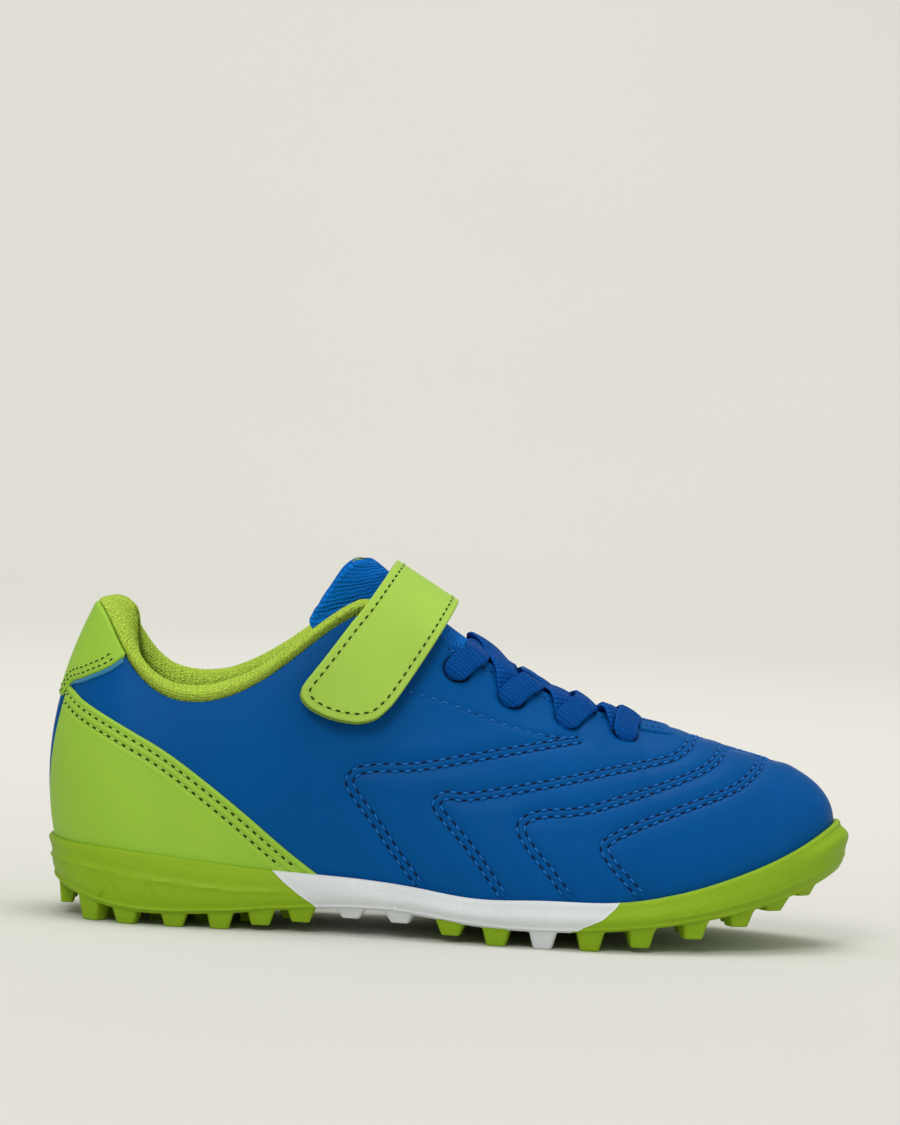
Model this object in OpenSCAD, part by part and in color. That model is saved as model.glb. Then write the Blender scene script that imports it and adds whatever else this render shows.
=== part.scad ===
// Child's turf soccer shoe for the right foot, with a hook-and-loop strap and an elastic lace.
// +X points to the toe, +Y to the inner side of the foot, +Z up, and the studs stand on z = 0.

/* [Size] */
// Overall length of the shoe, from the back of the heel to the toe bumper
shoe_length = 212; // [200:1:225]

/* [Upper] */
// Thickness of the leather upper
leather = 1.5; // [1.2:0.1:1.5]
// Thickness of the lining inside the upper
lining = 0.8; // [0.6:0.1:0.8]
// Thickness of the panels sewn on the outside of the upper
panel = 0.8; // [0.6:0.1:0.9]
// Height of the padded collar roll above the topline
collar_roll = 4.2; // [3.5:0.1:4.4]

/* [Strap] */
// Width of the closing strap
strap_w = 19.7; // [18:0.1:20]
// Thickness of the strap's outer leather
strap_face = 1.5; // [1.2:0.1:1.6]
// Thickness of the strap's backing
strap_back = 1.1; // [0.9:0.1:1.1]

/* [Lace] */
// Width of the flat elastic lace
lace_w = 7; // [6:0.1:7.2]
// Thickness of the flat elastic lace
lace_t = 1.2; // [1:0.1:1.3]

/* [Sole] */
// Thickness of the outsole floor above the studs
floor_t = 2.2; // [1.8:0.1:2.3]
// Length of a stud along the edge of the sole, at its root
stud_l = 7.4; // [6.5:0.1:8]
// Width of a stud across the sole, at its root
stud_w = 7; // [6:0.1:7.5]
// Thickness of the insole
insole_t = 3; // [2.5:0.1:3.2]

/* [Hidden] */

// ---- The ribs: one row for each, from the heel centre round one side to the toe centre ----
// bottom x, y, z, top x, y, z, bottom handle out, up, top handle out, down, sole top z, sole bottom z
HEEL_RIB = [2.5, 0, 15, 8.5, 0, 82, 7.4, 20, 11.5, 24, 22.3, 11.5];
LATERAL_RIBS = [
    [6.5, -14.5, 14.5, 12, -9.5, 78.5, 6.5, 19, 10, 23, 21.4, 9],
    [18.5, -23.5, 13.5, 17.5, -16.5, 69, 5, 16, 9, 20, 20.4, 4.6],
    [35, -26, 12.5, 28, -22, 59.5, 4, 13, 5.5, 17, 18.7, 4.1],
    [53, -25.5, 12, 44, -24.5, 59.8, 4, 13, 5, 17, 16.9, 5.3],
    [70, -25.5, 11.5, 60, -24, 69.5, 4, 14, 6, 19, 16, 6.6],
    [85, -27, 11.5, 75, -20, 82, 4, 14, 8, 22, 15.3, 7.4],
    [99, -29.7, 11, 88, -16.5, 84, 4, 15, 10, 22, 13.8, 6.5],
    [114, -32.7, 9.5, 102, -14, 77.5, 4, 16, 12, 17, 11.9, 4.7],
    [130, -35, 9.5, 119, -11.5, 69.5, 4, 16, 14, 12, 12.9, 4.5],
    [146, -35.3, 10, 137, -8.5, 61.6, 4, 16, 16, 8, 12.8, 5.2],
    [162, -33, 12, 153, 0, 58.8, 4, 15, 17, 4, 15, 7],
    [178, -28, 15.5, 166, 0, 55.8, 4.5, 14, 17, 0, 20.5, 10.5],
    [192, -20.5, 20, 178, 0, 52.5, 5, 12, 16, 0, 27, 15],
    [202, -11, 24.5, 187, 0, 50.3, 5, 10, 15, 0, 34, 20.5]
];
TOE_RIB = [205.5, 0, 27, 190, 0, 49.5, 5, 9, 15, 0, 37.8, 24];
MEDIAL_RIBS = [
    [202, 11.5, 24.5, 187, 0, 50.3, 5, 10, 15, 0, 34, 20.5],
    [192, 22, 20, 178, 0, 52.5, 5, 12, 16, 0, 27, 15],
    [178, 30.5, 15.5, 166, 0, 55.8, 4.5, 14, 17, 0, 20.5, 10.5],
    [162, 36, 12, 153, 0, 58.8, 4, 15, 17, 4, 15, 7],
    [146, 37.5, 10, 137, 8.5, 61.6, 4, 16, 16, 8, 12.8, 5.2],
    [130, 35, 9.5, 119, 11.5, 69.5, 4, 16, 14, 12, 12.9, 4.5],
    [114, 31, 9.5, 102, 14, 77.5, 3.5, 16, 12, 17, 11.9, 4.7],
    [99, 26.5, 11, 88, 16.5, 84.5, 3.5, 15, 10, 22, 13.8, 6.5],
    [85, 23, 11.5, 75, 20, 83, 3.5, 14, 8, 22, 15.3, 7.4],
    [70, 22.5, 11.5, 60, 23.5, 71, 3.5, 14, 6, 19, 16, 6.6],
    [53, 24, 12, 44, 24, 62, 3.5, 13, 5, 17, 16.9, 5.3],
    [35, 25.5, 12.5, 28, 22, 61.5, 4, 13, 5.5, 17, 18.7, 4.1],
    [18.5, 23.5, 13.5, 17.5, 16.5, 70.5, 5, 16, 9, 20, 20.4, 4.6],
    [6.5, 14.5, 14.5, 12, 9.5, 79, 6.5, 19, 10, 23, 21.4, 9]
];
RIBS = concat([HEEL_RIB], LATERAL_RIBS, [TOE_RIB], MEDIAL_RIBS);
LOOP = len(RIBS);
TOE = LOOP / 2;
// The rib where the throat ends: in front of it both sides meet on the ridge
THROAT = 11;
RIDGE_SLOPE = 0.26;
STEP = 0.5;
UP = [0, 0, 1];
// The modelled length, and how far the model is shifted to centre its box
MODEL_LENGTH = 212;
CENTRE = [103.23, 2.24, 0];

// ---- The skin: a closed loop of ribs, smooth along u (ribs) and v (0 at the sole, 1 at the top) ----
CONTROLS = [for (i = [0:LOOP - 1]) (8 * RIBS[i] - RIBS[(i + LOOP - 1) % LOOP] - RIBS[(i + 1) % LOOP]) / 6];
function wrap(u) = u - LOOP * floor(u / LOOP);
function control(i) = CONTROLS[(i + LOOP) % LOOP];
function rib(u) =
    let (t = wrap(u), i = floor(t), f = t - i)
    (pow(1 - f, 3) * control(i - 1) + (3 * pow(f, 3) - 6 * f * f + 4) * control(i)
    + (-3 * pow(f, 3) + 3 * f * f + 3 * f + 1) * control(i + 1) + pow(f, 3) * control(i + 2)) / 6;
function from_heel(u) = min(wrap(u), LOOP - wrap(u));
function unit(p) = p / norm(p);
// The whole shoe bends towards the big toe
function bend(p) = p + [0, 4.5 * pow(max(0, min(1.2, (p.x - 70) / 140)), 2), 0];
function outward(u) =
    let (d = rib(u + 0.02) - rib(u - 0.02))
    unit([d[1], -d[0], 0]);
// The four control points of the side curve at u
function side_curve(u) =
    let (
        r = rib(u), n = outward(u), t = from_heel(u), lateral = wrap(u) <= TOE,
        top_y = t >= THROAT ? 0 : lateral ? min(r[4], 0) : max(r[4], 0),
        bottom = [r[0], r[1], r[2]],
        top = [r[3], top_y, r[5]],
        flat = max(0, min(1, t - THROAT + 0.5))
    )
    [bend(bottom),
     bend(bottom + n * r[6] + UP * r[7]),
     bend(top + n * r[8] - UP * (r[9] + flat * RIDGE_SLOPE * n.x * r[8])),
     bend(top)];
function bezier(c, v) =
    pow(1 - v, 3) * c[0] + 3 * pow(1 - v, 2) * v * c[1] + 3 * (1 - v) * v * v * c[2] + pow(v, 3) * c[3];
// Three neighbouring side curves, enough to find the skin's normal
function curves(u) = [side_curve(u - 0.04), side_curve(u), side_curve(u + 0.04), from_heel(u)];
function normal_at(c, v) =
    v > 0.999 && c[3] >= THROAT
    ? unit([RIDGE_SLOPE, 0, 1])
    : let (along = bezier(c[2], min(v, 0.985)) - bezier(c[0], min(v, 0.985)),
           upward = bezier(c[1], min(v + 0.02, 1)) - bezier(c[1], max(v - 0.02, 0)))
      unit(cross(along, upward));
// A point at distance d outside the skin
function place(c, v, d) = bezier(c[1], v) + d * normal_at(c, v);
function on_skin(u, v, d) = place(curves(u), v, d);
function sole_top(u) = rib(u)[10];
function sole_bottom(u) = rib(u)[11];
function board_z(u) = rib(u)[2];
// The value v at which the upper leaves the cup of the sole
SOLE_LINE = [
    [0, 0.12], [1, 0.12], [2, 0.14], [3, 0.15], [4, 0.125], [5, 0.1], [6, 0.08], [7, 0.06], [8, 0.05],
    [9, 0.06], [10, 0.06], [11, 0.065], [12, 0.11], [13, 0.18], [14, 0.3], [15, 0.4]
];
function sole_line(u) = lookup(from_heel(u), SOLE_LINE);

// ---- Closed solids from grids of points ----
function span(a, b, n) = [for (i = [0:n]) a + (b - a) * i / n];
function flat_list(rows) = [for (row = rows) for (p = row) p];
function whole(faces) = [for (f = faces) if (f[0] != f[1] && f[1] != f[2] && f[2] != f[0]) f];
function quad(a, b, c, d) = [[a, b, c], [a, c, d]];

// A slab between two grids of the same size: outer is the side that faces out
module slab(outer, inner) {
    rows = len(outer);
    cols = len(outer[0]);
    size = rows * cols;
    faces = [
        for (i = [0:rows - 2]) for (j = [0:cols - 2])
            let (a = i * cols + j)
            each concat(quad(a, a + 1, a + cols + 1, a + cols),
                        quad(size + a, size + a + cols, size + a + cols + 1, size + a + 1)),
        for (i = [0:rows - 2])
            let (a = i * cols, b = i * cols + cols - 1)
            each concat(quad(a, a + cols, size + a + cols, size + a),
                        quad(b, size + b, size + b + cols, b + cols)),
        for (j = [0:cols - 2])
            let (a = j, b = (rows - 1) * cols + j)
            each concat(quad(a, size + a, size + a + 1, a + 1),
                        quad(b, b + 1, size + b + 1, size + b))
    ];
    polyhedron(concat(flat_list(outer), flat_list(inner)), faces);
}

function grid_normal(g, i, j) =
    let (rows = len(g), cols = len(g[0]),
         along = g[min(i + 1, rows - 1)][j] - g[max(i - 1, 0)][j],
         across = g[i][min(j + 1, cols - 1)] - g[i][max(j - 1, 0)])
    unit(cross(along, across));
// The same grid moved by d along its own normals
function moved(g, d) =
    [for (i = [0:len(g) - 1]) [for (j = [0:len(g[0]) - 1]) g[i][j] + d * grid_normal(g, i, j)]];

// A patch on the skin for the columns us, between the values v in the tables low and high
module patch(us, low, high, steps, d_out, d_in) {
    function rows(d) = [for (u = us)
        let (c = curves(u), a = lookup(u, low), b = lookup(u, high))
        [for (k = [0:steps]) place(c, a + (b - a) * k / steps, d)]];
    slab(rows(d_out), rows(d_in));
}

// A layer of the upper from v0 to the top, whose two sides meet on the ridge in front of the throat
module skin_layer(us, closed, v0, steps, d_out, d_in) {
    n = len(us);
    cols = steps + 1;
    size = n * cols;
    function mirror_row(i) = closed ? (n - i) % n : n - 1 - i;
    function row_of(i, j) = j == steps && from_heel(us[i]) >= THROAT && wrap(us[i]) > TOE ? mirror_row(i) : i;
    function id(i, j) = row_of(i % n, j) * cols + j;
    function rows(d) = [for (u = us)
        let (c = curves(u))
        [for (k = [0:steps]) place(c, v0 + (1 - v0) * k / steps, d)]];
    last = closed ? n - 1 : n - 2;
    faces = [
        for (i = [0:last]) for (j = [0:steps - 1])
            each concat(
                quad(id(i, j), id(i, j + 1), id(i + 1, j + 1), id(i + 1, j)),
                quad(size + id(i, j), size + id(i + 1, j), size + id(i + 1, j + 1), size + id(i, j + 1))),
        for (i = [0:last])
            each quad(id(i, 0), id(i + 1, 0), size + id(i + 1, 0), size + id(i, 0)),
        for (i = [0:last])
            if (from_heel(us[i]) < THROAT || from_heel(us[(i + 1) % n]) < THROAT)
                each quad(id(i, steps), size + id(i, steps), size + id(i + 1, steps), id(i + 1, steps)),
        if (!closed)
            for (j = [0:steps - 1])
                each concat(
                    quad(id(0, j), size + id(0, j), size + id(0, j + 1), id(0, j + 1)),
                    quad(id(n - 1, j), id(n - 1, j + 1), size + id(n - 1, j + 1), size + id(n - 1, j)))
    ];
    polyhedron(concat(flat_list(rows(d_out)), flat_list(rows(d_in))), whole(faces));
}

// Every part is placed in its final frame and drawn at the chosen size
module sized() {
    scale(shoe_length / MODEL_LENGTH) translate(-CENTRE) children();
}

// ---- The sole ----
WALL_GAP = 0.15;
CUP_STATIONS = span(0, TOE, 2 * TOE);
// One side of the cup's section: down the outside, then up the inside
function cup_outside(u) =
    let (c = curves(u), n = outward(u), r = rib(u), rim = bezier(c[1], sole_line(u)), foot = c[1][0],
         top = r[10], low = r[11], h = top - low)
    [[rim.x + 1.2 * n.x, rim.y + 1.2 * n.y, top],
     [rim.x + 2.3 * n.x, rim.y + 2.3 * n.y, top - 0.2 * h],
     [foot.x + 3.6 * n.x, foot.y + 3.6 * n.y, top - 0.55 * h],
     [foot.x + 2.7 * n.x, foot.y + 2.7 * n.y, low + 0.15 * h],
     [foot.x + 1.2 * n.x, foot.y + 1.2 * n.y, low]];
function cup_inside(u) =
    let (c = curves(u), n = outward(u), s = sole_line(u), foot = c[1][0], top = rib(u)[10])
    [[foot.x + WALL_GAP * n.x, foot.y + WALL_GAP * n.y, sole_bottom(u) + floor_t],
     foot + WALL_GAP * n,
     place(c, s / 2, WALL_GAP + 0.1),
     let (p = place(c, s, WALL_GAP + 0.1)) [p.x, p.y, top]];
function backwards(list) = [for (i = [len(list) - 1:-1:0]) list[i]];
function cup_section(u) = concat(cup_outside(u), backwards(cup_outside(-u)),
                                 backwards(cup_inside(-u)), cup_inside(u));

module cup() {
    sections = [for (u = CUP_STATIONS) cup_section(u)];
    n = len(sections[0]);
    last = len(sections) - 1;
    half = len(cup_outside(0));
    // At the heel and toe centres the medial half of a section is its lateral half
    function folded(j) = j < half ? j : j < 2 * half ? 2 * half - 1 - j : j < n - 4 ? n - 1 - (j - 2 * half) : j;
    function id(i, j) = i * n + (i == 0 || i == last ? folded(j % n) : j % n);
    faces = [for (i = [0:last - 1]) for (j = [0:n - 1])
        each quad(id(i, j), id(i + 1, j), id(i + 1, j + 1), id(i, j + 1))];
    polyhedron(flat_list(sections), whole(faces));
}

// A side-view outline as a prism right across the shoe
module across(points) {
    rotate([90, 0, 0]) linear_extrude(120, center = true) polygon(points);
}

SEAM = 0.05;
// The slanting joints at the back and the front of the light midfoot section
REAR_JOINT = [[50, 24], [59, 16.3], [66, 10.6], [71, 7.2], [72, 0]];
FRONT_JOINT = [[160, 24], [150.6, 13.6], [149, 12], [146, 8.8], [141, 6.4], [137.5, 5], [137, 0]];
PLATE_TOP = [[140, 6.6], [130, 6], [114, 6.2], [104, 7.4], [98, 7.9]];

module rear_zone() {
    across(concat([for (p = REAR_JOINT) p - [SEAM, 0]], [[60, -5], [-20, -5], [-20, 60], [40, 60]]));
}
module front_zone() {
    across(concat([for (p = FRONT_JOINT) p + [SEAM, 0]], [[140, -5], [240, -5], [240, 80], [170, 80]]));
}
// The forefoot's base plate runs back under the midfoot section, inside its wall
module plate_zone() {
    intersection() {
        across(concat(PLATE_TOP, [[98, -1], [140, -1]]));
        linear_extrude(20) polygon(concat(
            [for (x = [97, 106, 118, 130, 141]) [x, edge_point(x, 1, -3.4).y]],
            [for (x = [141, 130, 118, 106, 97]) [x, edge_point(x, -1, -3.4).y]]));
    }
}

// Places along the edge of the sole: x on the side s, moved d outward
EDGE_X = [for (i = [0:TOE]) [RIBS[i][0], i]];
function edge_u(x, s) = -s * lookup(x, EDGE_X);
function edge_point(x, s, d) = let (u = edge_u(x, s)) side_curve(u)[0] + d * outward(u);
function half_width(x) = (edge_point(x, 1, 0).y - edge_point(x, -1, 0).y) / 2;
function centre_y(x) = (edge_point(x, 1, 0).y + edge_point(x, -1, 0).y) / 2;

// How low the studs reach: the sole rises at the waist and at both ends
STUD_TIP = [[0, 4.5], [7, 0], [48, 0], [56, 1.4], [67, 2.8], [80, 4.6], [94, 4.2], [106, 2], [117, 0],
            [145, 0], [156, 1.3], [170, 3.9], [182, 7.2], [191, 11.2], [198, 14.5], [206, 19.5]];
SOLE_LOW = [for (i = [0:TOE]) [RIBS[i][0], RIBS[i][11]]];
EDGE_STUDS = [12.5, 21.5, 34, 46, 56.5, 67, 80, 93, 106.5, 118.4, 130.5, 142.8, 156, 169.8, 181.7, 191, 198.6];
INNER_STUDS = [17, 29, 41, 53, 64, 79, 93, 106, 118, 130, 142, 155, 168, 180, 190];
STUD_TAPER = 0.64;
STUD_ROOT = 1.1;

// One tapered stud at a point of the sole, turned by angle a
module stud(p, a, tip, long, wide) {
    low = lookup(p.x, SOLE_LOW);
    hull() {
        translate([p.x, p.y, low + STUD_ROOT]) rotate([0, 0, a])
            linear_extrude(0.2) square([long, wide], center = true);
        translate([p.x, p.y, tip]) rotate([0, 0, a])
            linear_extrude(0.2) square([long, wide] * STUD_TAPER, center = true);
    }
}
module edge_studs(xs, sides = [-1, 1]) {
    for (s = sides) for (x = xs) {
        u = edge_u(x, s);
        n = outward(u);
        stud(edge_point(x, s, -1.6), atan2(n.x, -n.y), lookup(x, STUD_TIP), stud_l, stud_w);
    }
}
module inner_studs(xs) {
    for (x = xs) {
        room = half_width(x) - 11;
        count = max(1, 1 + 2 * floor(room / 11.5));
        for (k = [0:count - 1]) {
            y = centre_y(x) + (k - (count - 1) / 2) * 11.5;
            stud([x, y, 0], 0, lookup(x, STUD_TIP), stud_l * 0.85, stud_w * 0.8);
        }
    }
}
function within(list, a, b) = [for (x = list) if (x > a && x < b) x];
BACK_END = [0, 72];
WAIST = [72, 98];
FRONT_END = [98, 210];
WHITE_EDGE_STUD = 130.5;
module forefoot_studs() {
    edge_studs([for (x = within(EDGE_STUDS, FRONT_END[0], FRONT_END[1])) if (x != WHITE_EDGE_STUD) x]);
    inner_studs(within(INNER_STUDS, FRONT_END[0], FRONT_END[1]));
    for (y = [-5.5, 6.5]) stud([204.5, y + 4, 0], 0, 19.5, 5, 6);
}

module outsole_heel() {
    color("yellowgreen") sized() union() {
        intersection() {
            cup();
            rear_zone();
        }
        edge_studs(within(EDGE_STUDS, BACK_END[0], BACK_END[1]));
        inner_studs(within(INNER_STUDS, BACK_END[0], BACK_END[1]));
        for (y = [-6.5, 6.5]) stud([4.6, y, 0], 0, 3, 5, 7);
    }
}
module outsole_shank() {
    color("white") sized() difference() {
        union() {
            difference() {
                cup();
                across(concat(REAR_JOINT, [[60, -5], [-20, -5], [-20, 60], [40, 60]]));
                across(concat(FRONT_JOINT, [[140, -5], [240, -5], [240, 80], [170, 80]]));
            }
            edge_studs(concat(within(EDGE_STUDS, WAIST[0], WAIST[1]), [WHITE_EDGE_STUD]));
            inner_studs(within(INNER_STUDS, WAIST[0], WAIST[1]));
        }
        plate_zone();
        forefoot_studs();
    }
}
module outsole_forefoot() {
    color("yellowgreen") sized() union() {
        intersection() {
            cup();
            front_zone();
        }
        intersection() {
            cup();
            plate_zone();
        }
        forefoot_studs();
    }
}

// A flat layer inside the shoe: inset from the edge, between two heights above the board line
module bottom_layer(first, last, inset, low, high) {
    function row(u, top) = [for (t = span(0, 1, 6))
        let (a = side_curve(u)[0] - inset * outward(u), b = side_curve(-u)[0] - inset * outward(-u),
             p = a + (b - a) * t)
        [p.x, p.y, top ? board_z(u) + high : (low == 0 ? sole_bottom(u) + floor_t + 0.3 : board_z(u) + low)]];
    us = span(first, last, 28);
    slab([for (u = us) row(u, true)], [for (u = us) row(u, false)]);
}
module midsole() {
    color("lightgray") sized() bottom_layer(0.4, 14.6, 0.8, 0, -1.4);
}
module strobel_board() {
    color("wheat") sized() bottom_layer(0.35, 14.6, 0.6, -1.3, -0.1);
}
module insole() {
    color("dimgray") sized() bottom_layer(0.6, 14.2, 4.2, 0.1, insole_t + 0.1);
}

// ---- The upper ----
GLUE = 0.2;
LINING_OUT = -leather - 0.8;
LINING_IN = LINING_OUT - lining;
COLLAR_END = 7;
module upper_shell() {
    color("royalblue") sized() skin_layer(span(0, LOOP - STEP, 2 * LOOP - 1), true, 0, 12, 0, -leather);
}
// The slanting upper edge of the heel panels, as v along u
PANEL_EDGE = [[0, 0.655], [0.5, 0.664], [1, 0.687], [1.5, 0.692], [2, 0.709], [2.5, 0.719], [3, 0.704],
              [3.5, 0.602], [4, 0.429], [4.5, 0.238], [5, 0.125]];
PANEL_US = [0.45, 1, 1.5, 2, 2.5, 3, 3.5, 4, 4.5, 4.9];
function mirrored(table) = [for (i = [len(table) - 1:-1:0]) [-table[i][0], table[i][1]]];
PANEL_FOOT = [for (u = PANEL_US) [u, sole_line(u) + 0.012]];
module heel_panel_lateral() {
    color("yellowgreen") sized() patch(PANEL_US, PANEL_FOOT, PANEL_EDGE, 8, GLUE + panel, GLUE);
}
module heel_panel_medial() {
    color("yellowgreen") sized()
        patch([for (u = backwards(PANEL_US)) -u], mirrored(PANEL_FOOT), mirrored(PANEL_EDGE), 8,
              GLUE + panel, GLUE);
}
module heel_strip() {
    color("royalblue") sized()
        patch([-0.4, 0, 0.4], [[0, 0.135]], [[0, 0.655]], 8, GLUE + panel, GLUE);
}
// The lower edge of the heel tab
TAB_EDGE = [[-1.85, 0.965], [-1.5, 0.87], [-1, 0.775], [-0.5, 0.72], [0, 0.7],
            [0.5, 0.72], [1, 0.775], [1.5, 0.87], [1.85, 0.965]];
TAB_US = [-1.85, -1.5, -1, -0.5, 0, 0.5, 1, 1.5, 1.85];
module heel_tab() {
    color("yellowgreen") sized() patch(TAB_US, TAB_EDGE, [[0, 1]], 4, GLUE + panel, GLUE);
}
module heel_piping() {
    color("skyblue") sized()
        patch(TAB_US, [for (p = TAB_EDGE) p - [0, 0.02]], [for (p = TAB_EDGE) p - [0, 0.003]], 1,
              GLUE + panel / 2, GLUE);
}
module throat_tab() {
    function row(u, d) = [for (s = [[1, 0.88], [1, 0.94], [1, 1], [-1, 0.94], [-1, 0.88]])
        on_skin(s[0] * u, s[1], d)];
    us = [11.1, 11.35, 11.6];
    color("royalblue") sized()
        slab([for (u = us) row(u, GLUE + panel)], [for (u = us) row(u, GLUE)]);
}
STIFFENER_OUT = -leather - 0.2;
STIFFENER_IN = STIFFENER_OUT - 0.4;
module heel_counter() {
    color("gray") sized() patch(span(-3, 3, 12), [[0, 0.1]], [[0, 0.6]], 6, STIFFENER_OUT, STIFFENER_IN);
}
module toe_puff() {
    color("gray") sized() patch(span(12.5, 17.5, 10), [[0, 0.06]], [[0, 0.7]], 6, STIFFENER_OUT, STIFFENER_IN);
}
module eyestay_stay_lateral() {
    color("gray") sized() patch(span(7.5, 10.5, 6), [[0, 0.72]], [[0, 0.97]], 3, STIFFENER_OUT, STIFFENER_IN);
}
module eyestay_stay_medial() {
    color("gray") sized() patch(span(-10.5, -7.5, 6), [[0, 0.72]], [[0, 0.97]], 3, STIFFENER_OUT, STIFFENER_IN);
}
module vamp_lining() {
    color("navy") sized()
        skin_layer(concat([7.1], span(7.5, 22.5, 30), [22.9]), false, 0.03, 7, LINING_OUT, LINING_IN);
}

// ---- The collar: a padded roll along the topline, round the heel ----
// How full the roll is: it thins out towards the strap
FULLNESS = [[4.5, 1], [5.5, 0.8], [6.3, 0.5], [7, 0.12]];
function fullness(u) = lookup(from_heel(u), FULLNESS);
COLLAR_US = span(-COLLAR_END, COLLAR_END, 28);
LINING_REST = -LINING_IN + 0.15;
// The lining's visible side: up behind the leather, over the roll and down inside
function collar_row(u) =
    let (c = curves(u), n = outward(u), t = c[1][3], f = fullness(u), h = collar_roll)
    [place(c, 0.95, -leather - 0.4),
     place(c, 1, -leather - 0.25),
     t + (0.3 * f - 0.5) * n + UP * (0.45 * h * f + 0.6),
     t - (0.9 * f + 0.6) * n + UP * (0.85 * h * f + 0.5),
     t - (3.2 * f + 1) * n + UP * (h * f + 0.5),
     t - (5.6 * f + 1.6) * n + UP * (0.7 * h * f + 0.2),
     t - (6.2 * f + 2.6) * n - UP * 1,
     place(c, 0.86, -LINING_REST - 3.8 * f),
     place(c, 0.74, -LINING_REST - 2.8 * f),
     place(c, 0.6, -LINING_REST - 1.2 * f),
     place(c, 0.4, -LINING_REST),
     place(c, 0.2, -LINING_REST),
     place(c, 0.04, -LINING_REST)];
COLLAR = [for (u = COLLAR_US) collar_row(u)];
module collar_lining() {
    color("yellowgreen") sized() slab(COLLAR, moved(COLLAR, -lining));
}
module collar_foam() {
    behind = moved(COLLAR, -lining - GLUE);
    // Where the foam's back meets the leather's inside, as v and distance, for sections 3 to 9 of the roll
    back = [[0.99, -3.3], [0.97, -3.2], [0.94, -3], [0.9, -2.7], [0.84, -2.5], [0.74, -2.4], [0.62, -2.4]];
    us = [for (i = [2:len(COLLAR_US) - 3]) i];
    color("khaki") sized() slab(
        [for (i = us) [for (k = [3:9]) behind[i][k]]],
        [for (i = us) let (c = curves(COLLAR_US[i])) [for (b = back) place(c, b[0], b[1])]]);
}

// ---- The tongue ----
// Sections under the throat follow the upper from inside and bridge it; u, handle length
TONGUE_SECTIONS = [[10.6, 4], [10, 5.2], [9.3, 6.6], [8.6, 8], [7.9, 9.3]];
WING_V = [0.76, 0.84, 0.92, 1];
TONGUE_GAP = -LINING_IN + 0.5;
function tongue_wing(u) = let (c = curves(u)) [for (v = WING_V) place(c, v, -TONGUE_GAP)];
function tongue_section(u, h) =
    let (a = tongue_wing(u), b = tongue_wing(-u),
         c = [a[3], a[3] + h * unit(a[3] - a[2]), b[3] + h * unit(b[3] - b[2]), b[3]])
    concat(a, [for (k = [1:5]) bezier(c, k / 6)], backwards(b));
// Free sections above the throat: centre x, z and edge x, y, z, from the strap up to the top
FIXED_END = [90.3, 90.2, 77, 12.5, 73];
TIP_SECTIONS = [
    [88.4, 91.9, 66, 12.6, 79.5],
    [86.2, 93.8, 67.2, 12.6, 84.5],
    [83.6, 96, 70.4, 12.2, 89.8],
    [81.4, 97.6, 73.6, 11, 94.4],
    [79.6, 98.4, 76.4, 8.5, 97.6]
];
function free_section(s) =
    [for (k = [0:12]) let (w = k / 6 - 1)
        bend([s[0] + (s[2] - s[0]) * w * w, s[3] * w, s[1] + (s[4] - s[1]) * w * w])];
TONGUE = concat([for (s = TONGUE_SECTIONS) tongue_section(s[0], s[1])], [free_section(FIXED_END)]);
TONGUE_TIP = [for (s = TIP_SECTIONS) free_section(s)];
TONGUE_FACE = 1;
TONGUE_FOAM = 2.4;
TONGUE_BACK = 0.8;
module tongue_layer(grid, start, thick) {
    sized() slab(moved(grid, start + thick), moved(grid, start));
}
module tongue_face() {
    color("royalblue") tongue_layer(TONGUE, 0, TONGUE_FACE);
}
module tongue_foam() {
    color("khaki") tongue_layer(TONGUE, TONGUE_FACE + GLUE, TONGUE_FOAM);
}
module tongue_lining() {
    color("navy") tongue_layer(TONGUE, TONGUE_FACE + TONGUE_FOAM + 2 * GLUE, TONGUE_BACK);
}
module tongue_tip_face() {
    color("royalblue") tongue_layer(TONGUE_TIP, 0, TONGUE_FACE);
}
module tongue_tip_foam() {
    color("khaki") tongue_layer(TONGUE_TIP, TONGUE_FACE + GLUE, TONGUE_FOAM);
}
module tongue_tip_lining() {
    color("navy") tongue_layer(TONGUE_TIP, TONGUE_FACE + TONGUE_FOAM + 2 * GLUE, TONGUE_BACK);
}

// ---- The elastic lace: flat strips that leave a hole on one side and cross the tongue ----
// Lace holes as u, v on either side
HOLES = [[8.06, 0.85], [8.9, 0.825], [9.72, 0.82], [10.6, 0.8]];
ALONG_RIDGE = [0.861, 0, -0.508];
// A strip on the side s, from hole h to the far throat edge at u, lifted by lift at the crossing
function lace_path(s, h, u, lift) =
    let (
        a = on_skin(s * h[0], h[1], 0.8), b = on_skin(s * (h[0] + 0.1), (h[1] + 1) / 2, 0.9),
        c = on_skin(s * (h[0] + 0.2), 1, 0.8), e = on_skin(-s * u, 1, 0.8), f = on_skin(-s * u, 0.9, 0.8),
        reach = norm(e - c) * 0.42,
        arc = [c, c + (reach + lift) * unit(c - b), e + (reach + lift) * unit(e - f), e]
    )
    concat([a, b], [for (k = [0:6]) bezier(arc, k / 6)]);
module strip(path, s, wide) {
    n = len(path) - 1;
    function dir(k) = unit(path[min(k + 1, n)] - path[max(k - 1, 0)]);
    function side(k) = let (t = dir(k)) unit(ALONG_RIDGE - (ALONG_RIDGE * t) * t);
    function lift(k) = s * cross(side(k), dir(k));
    function row(k, d) = [for (e = [s, -s]) path[k] + side(k) * (e * wide / 2) + lift(k) * d];
    slab([for (k = [0:n]) row(k, lace_t)], [for (k = [0:n]) row(k, 0)]);
}
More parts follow.
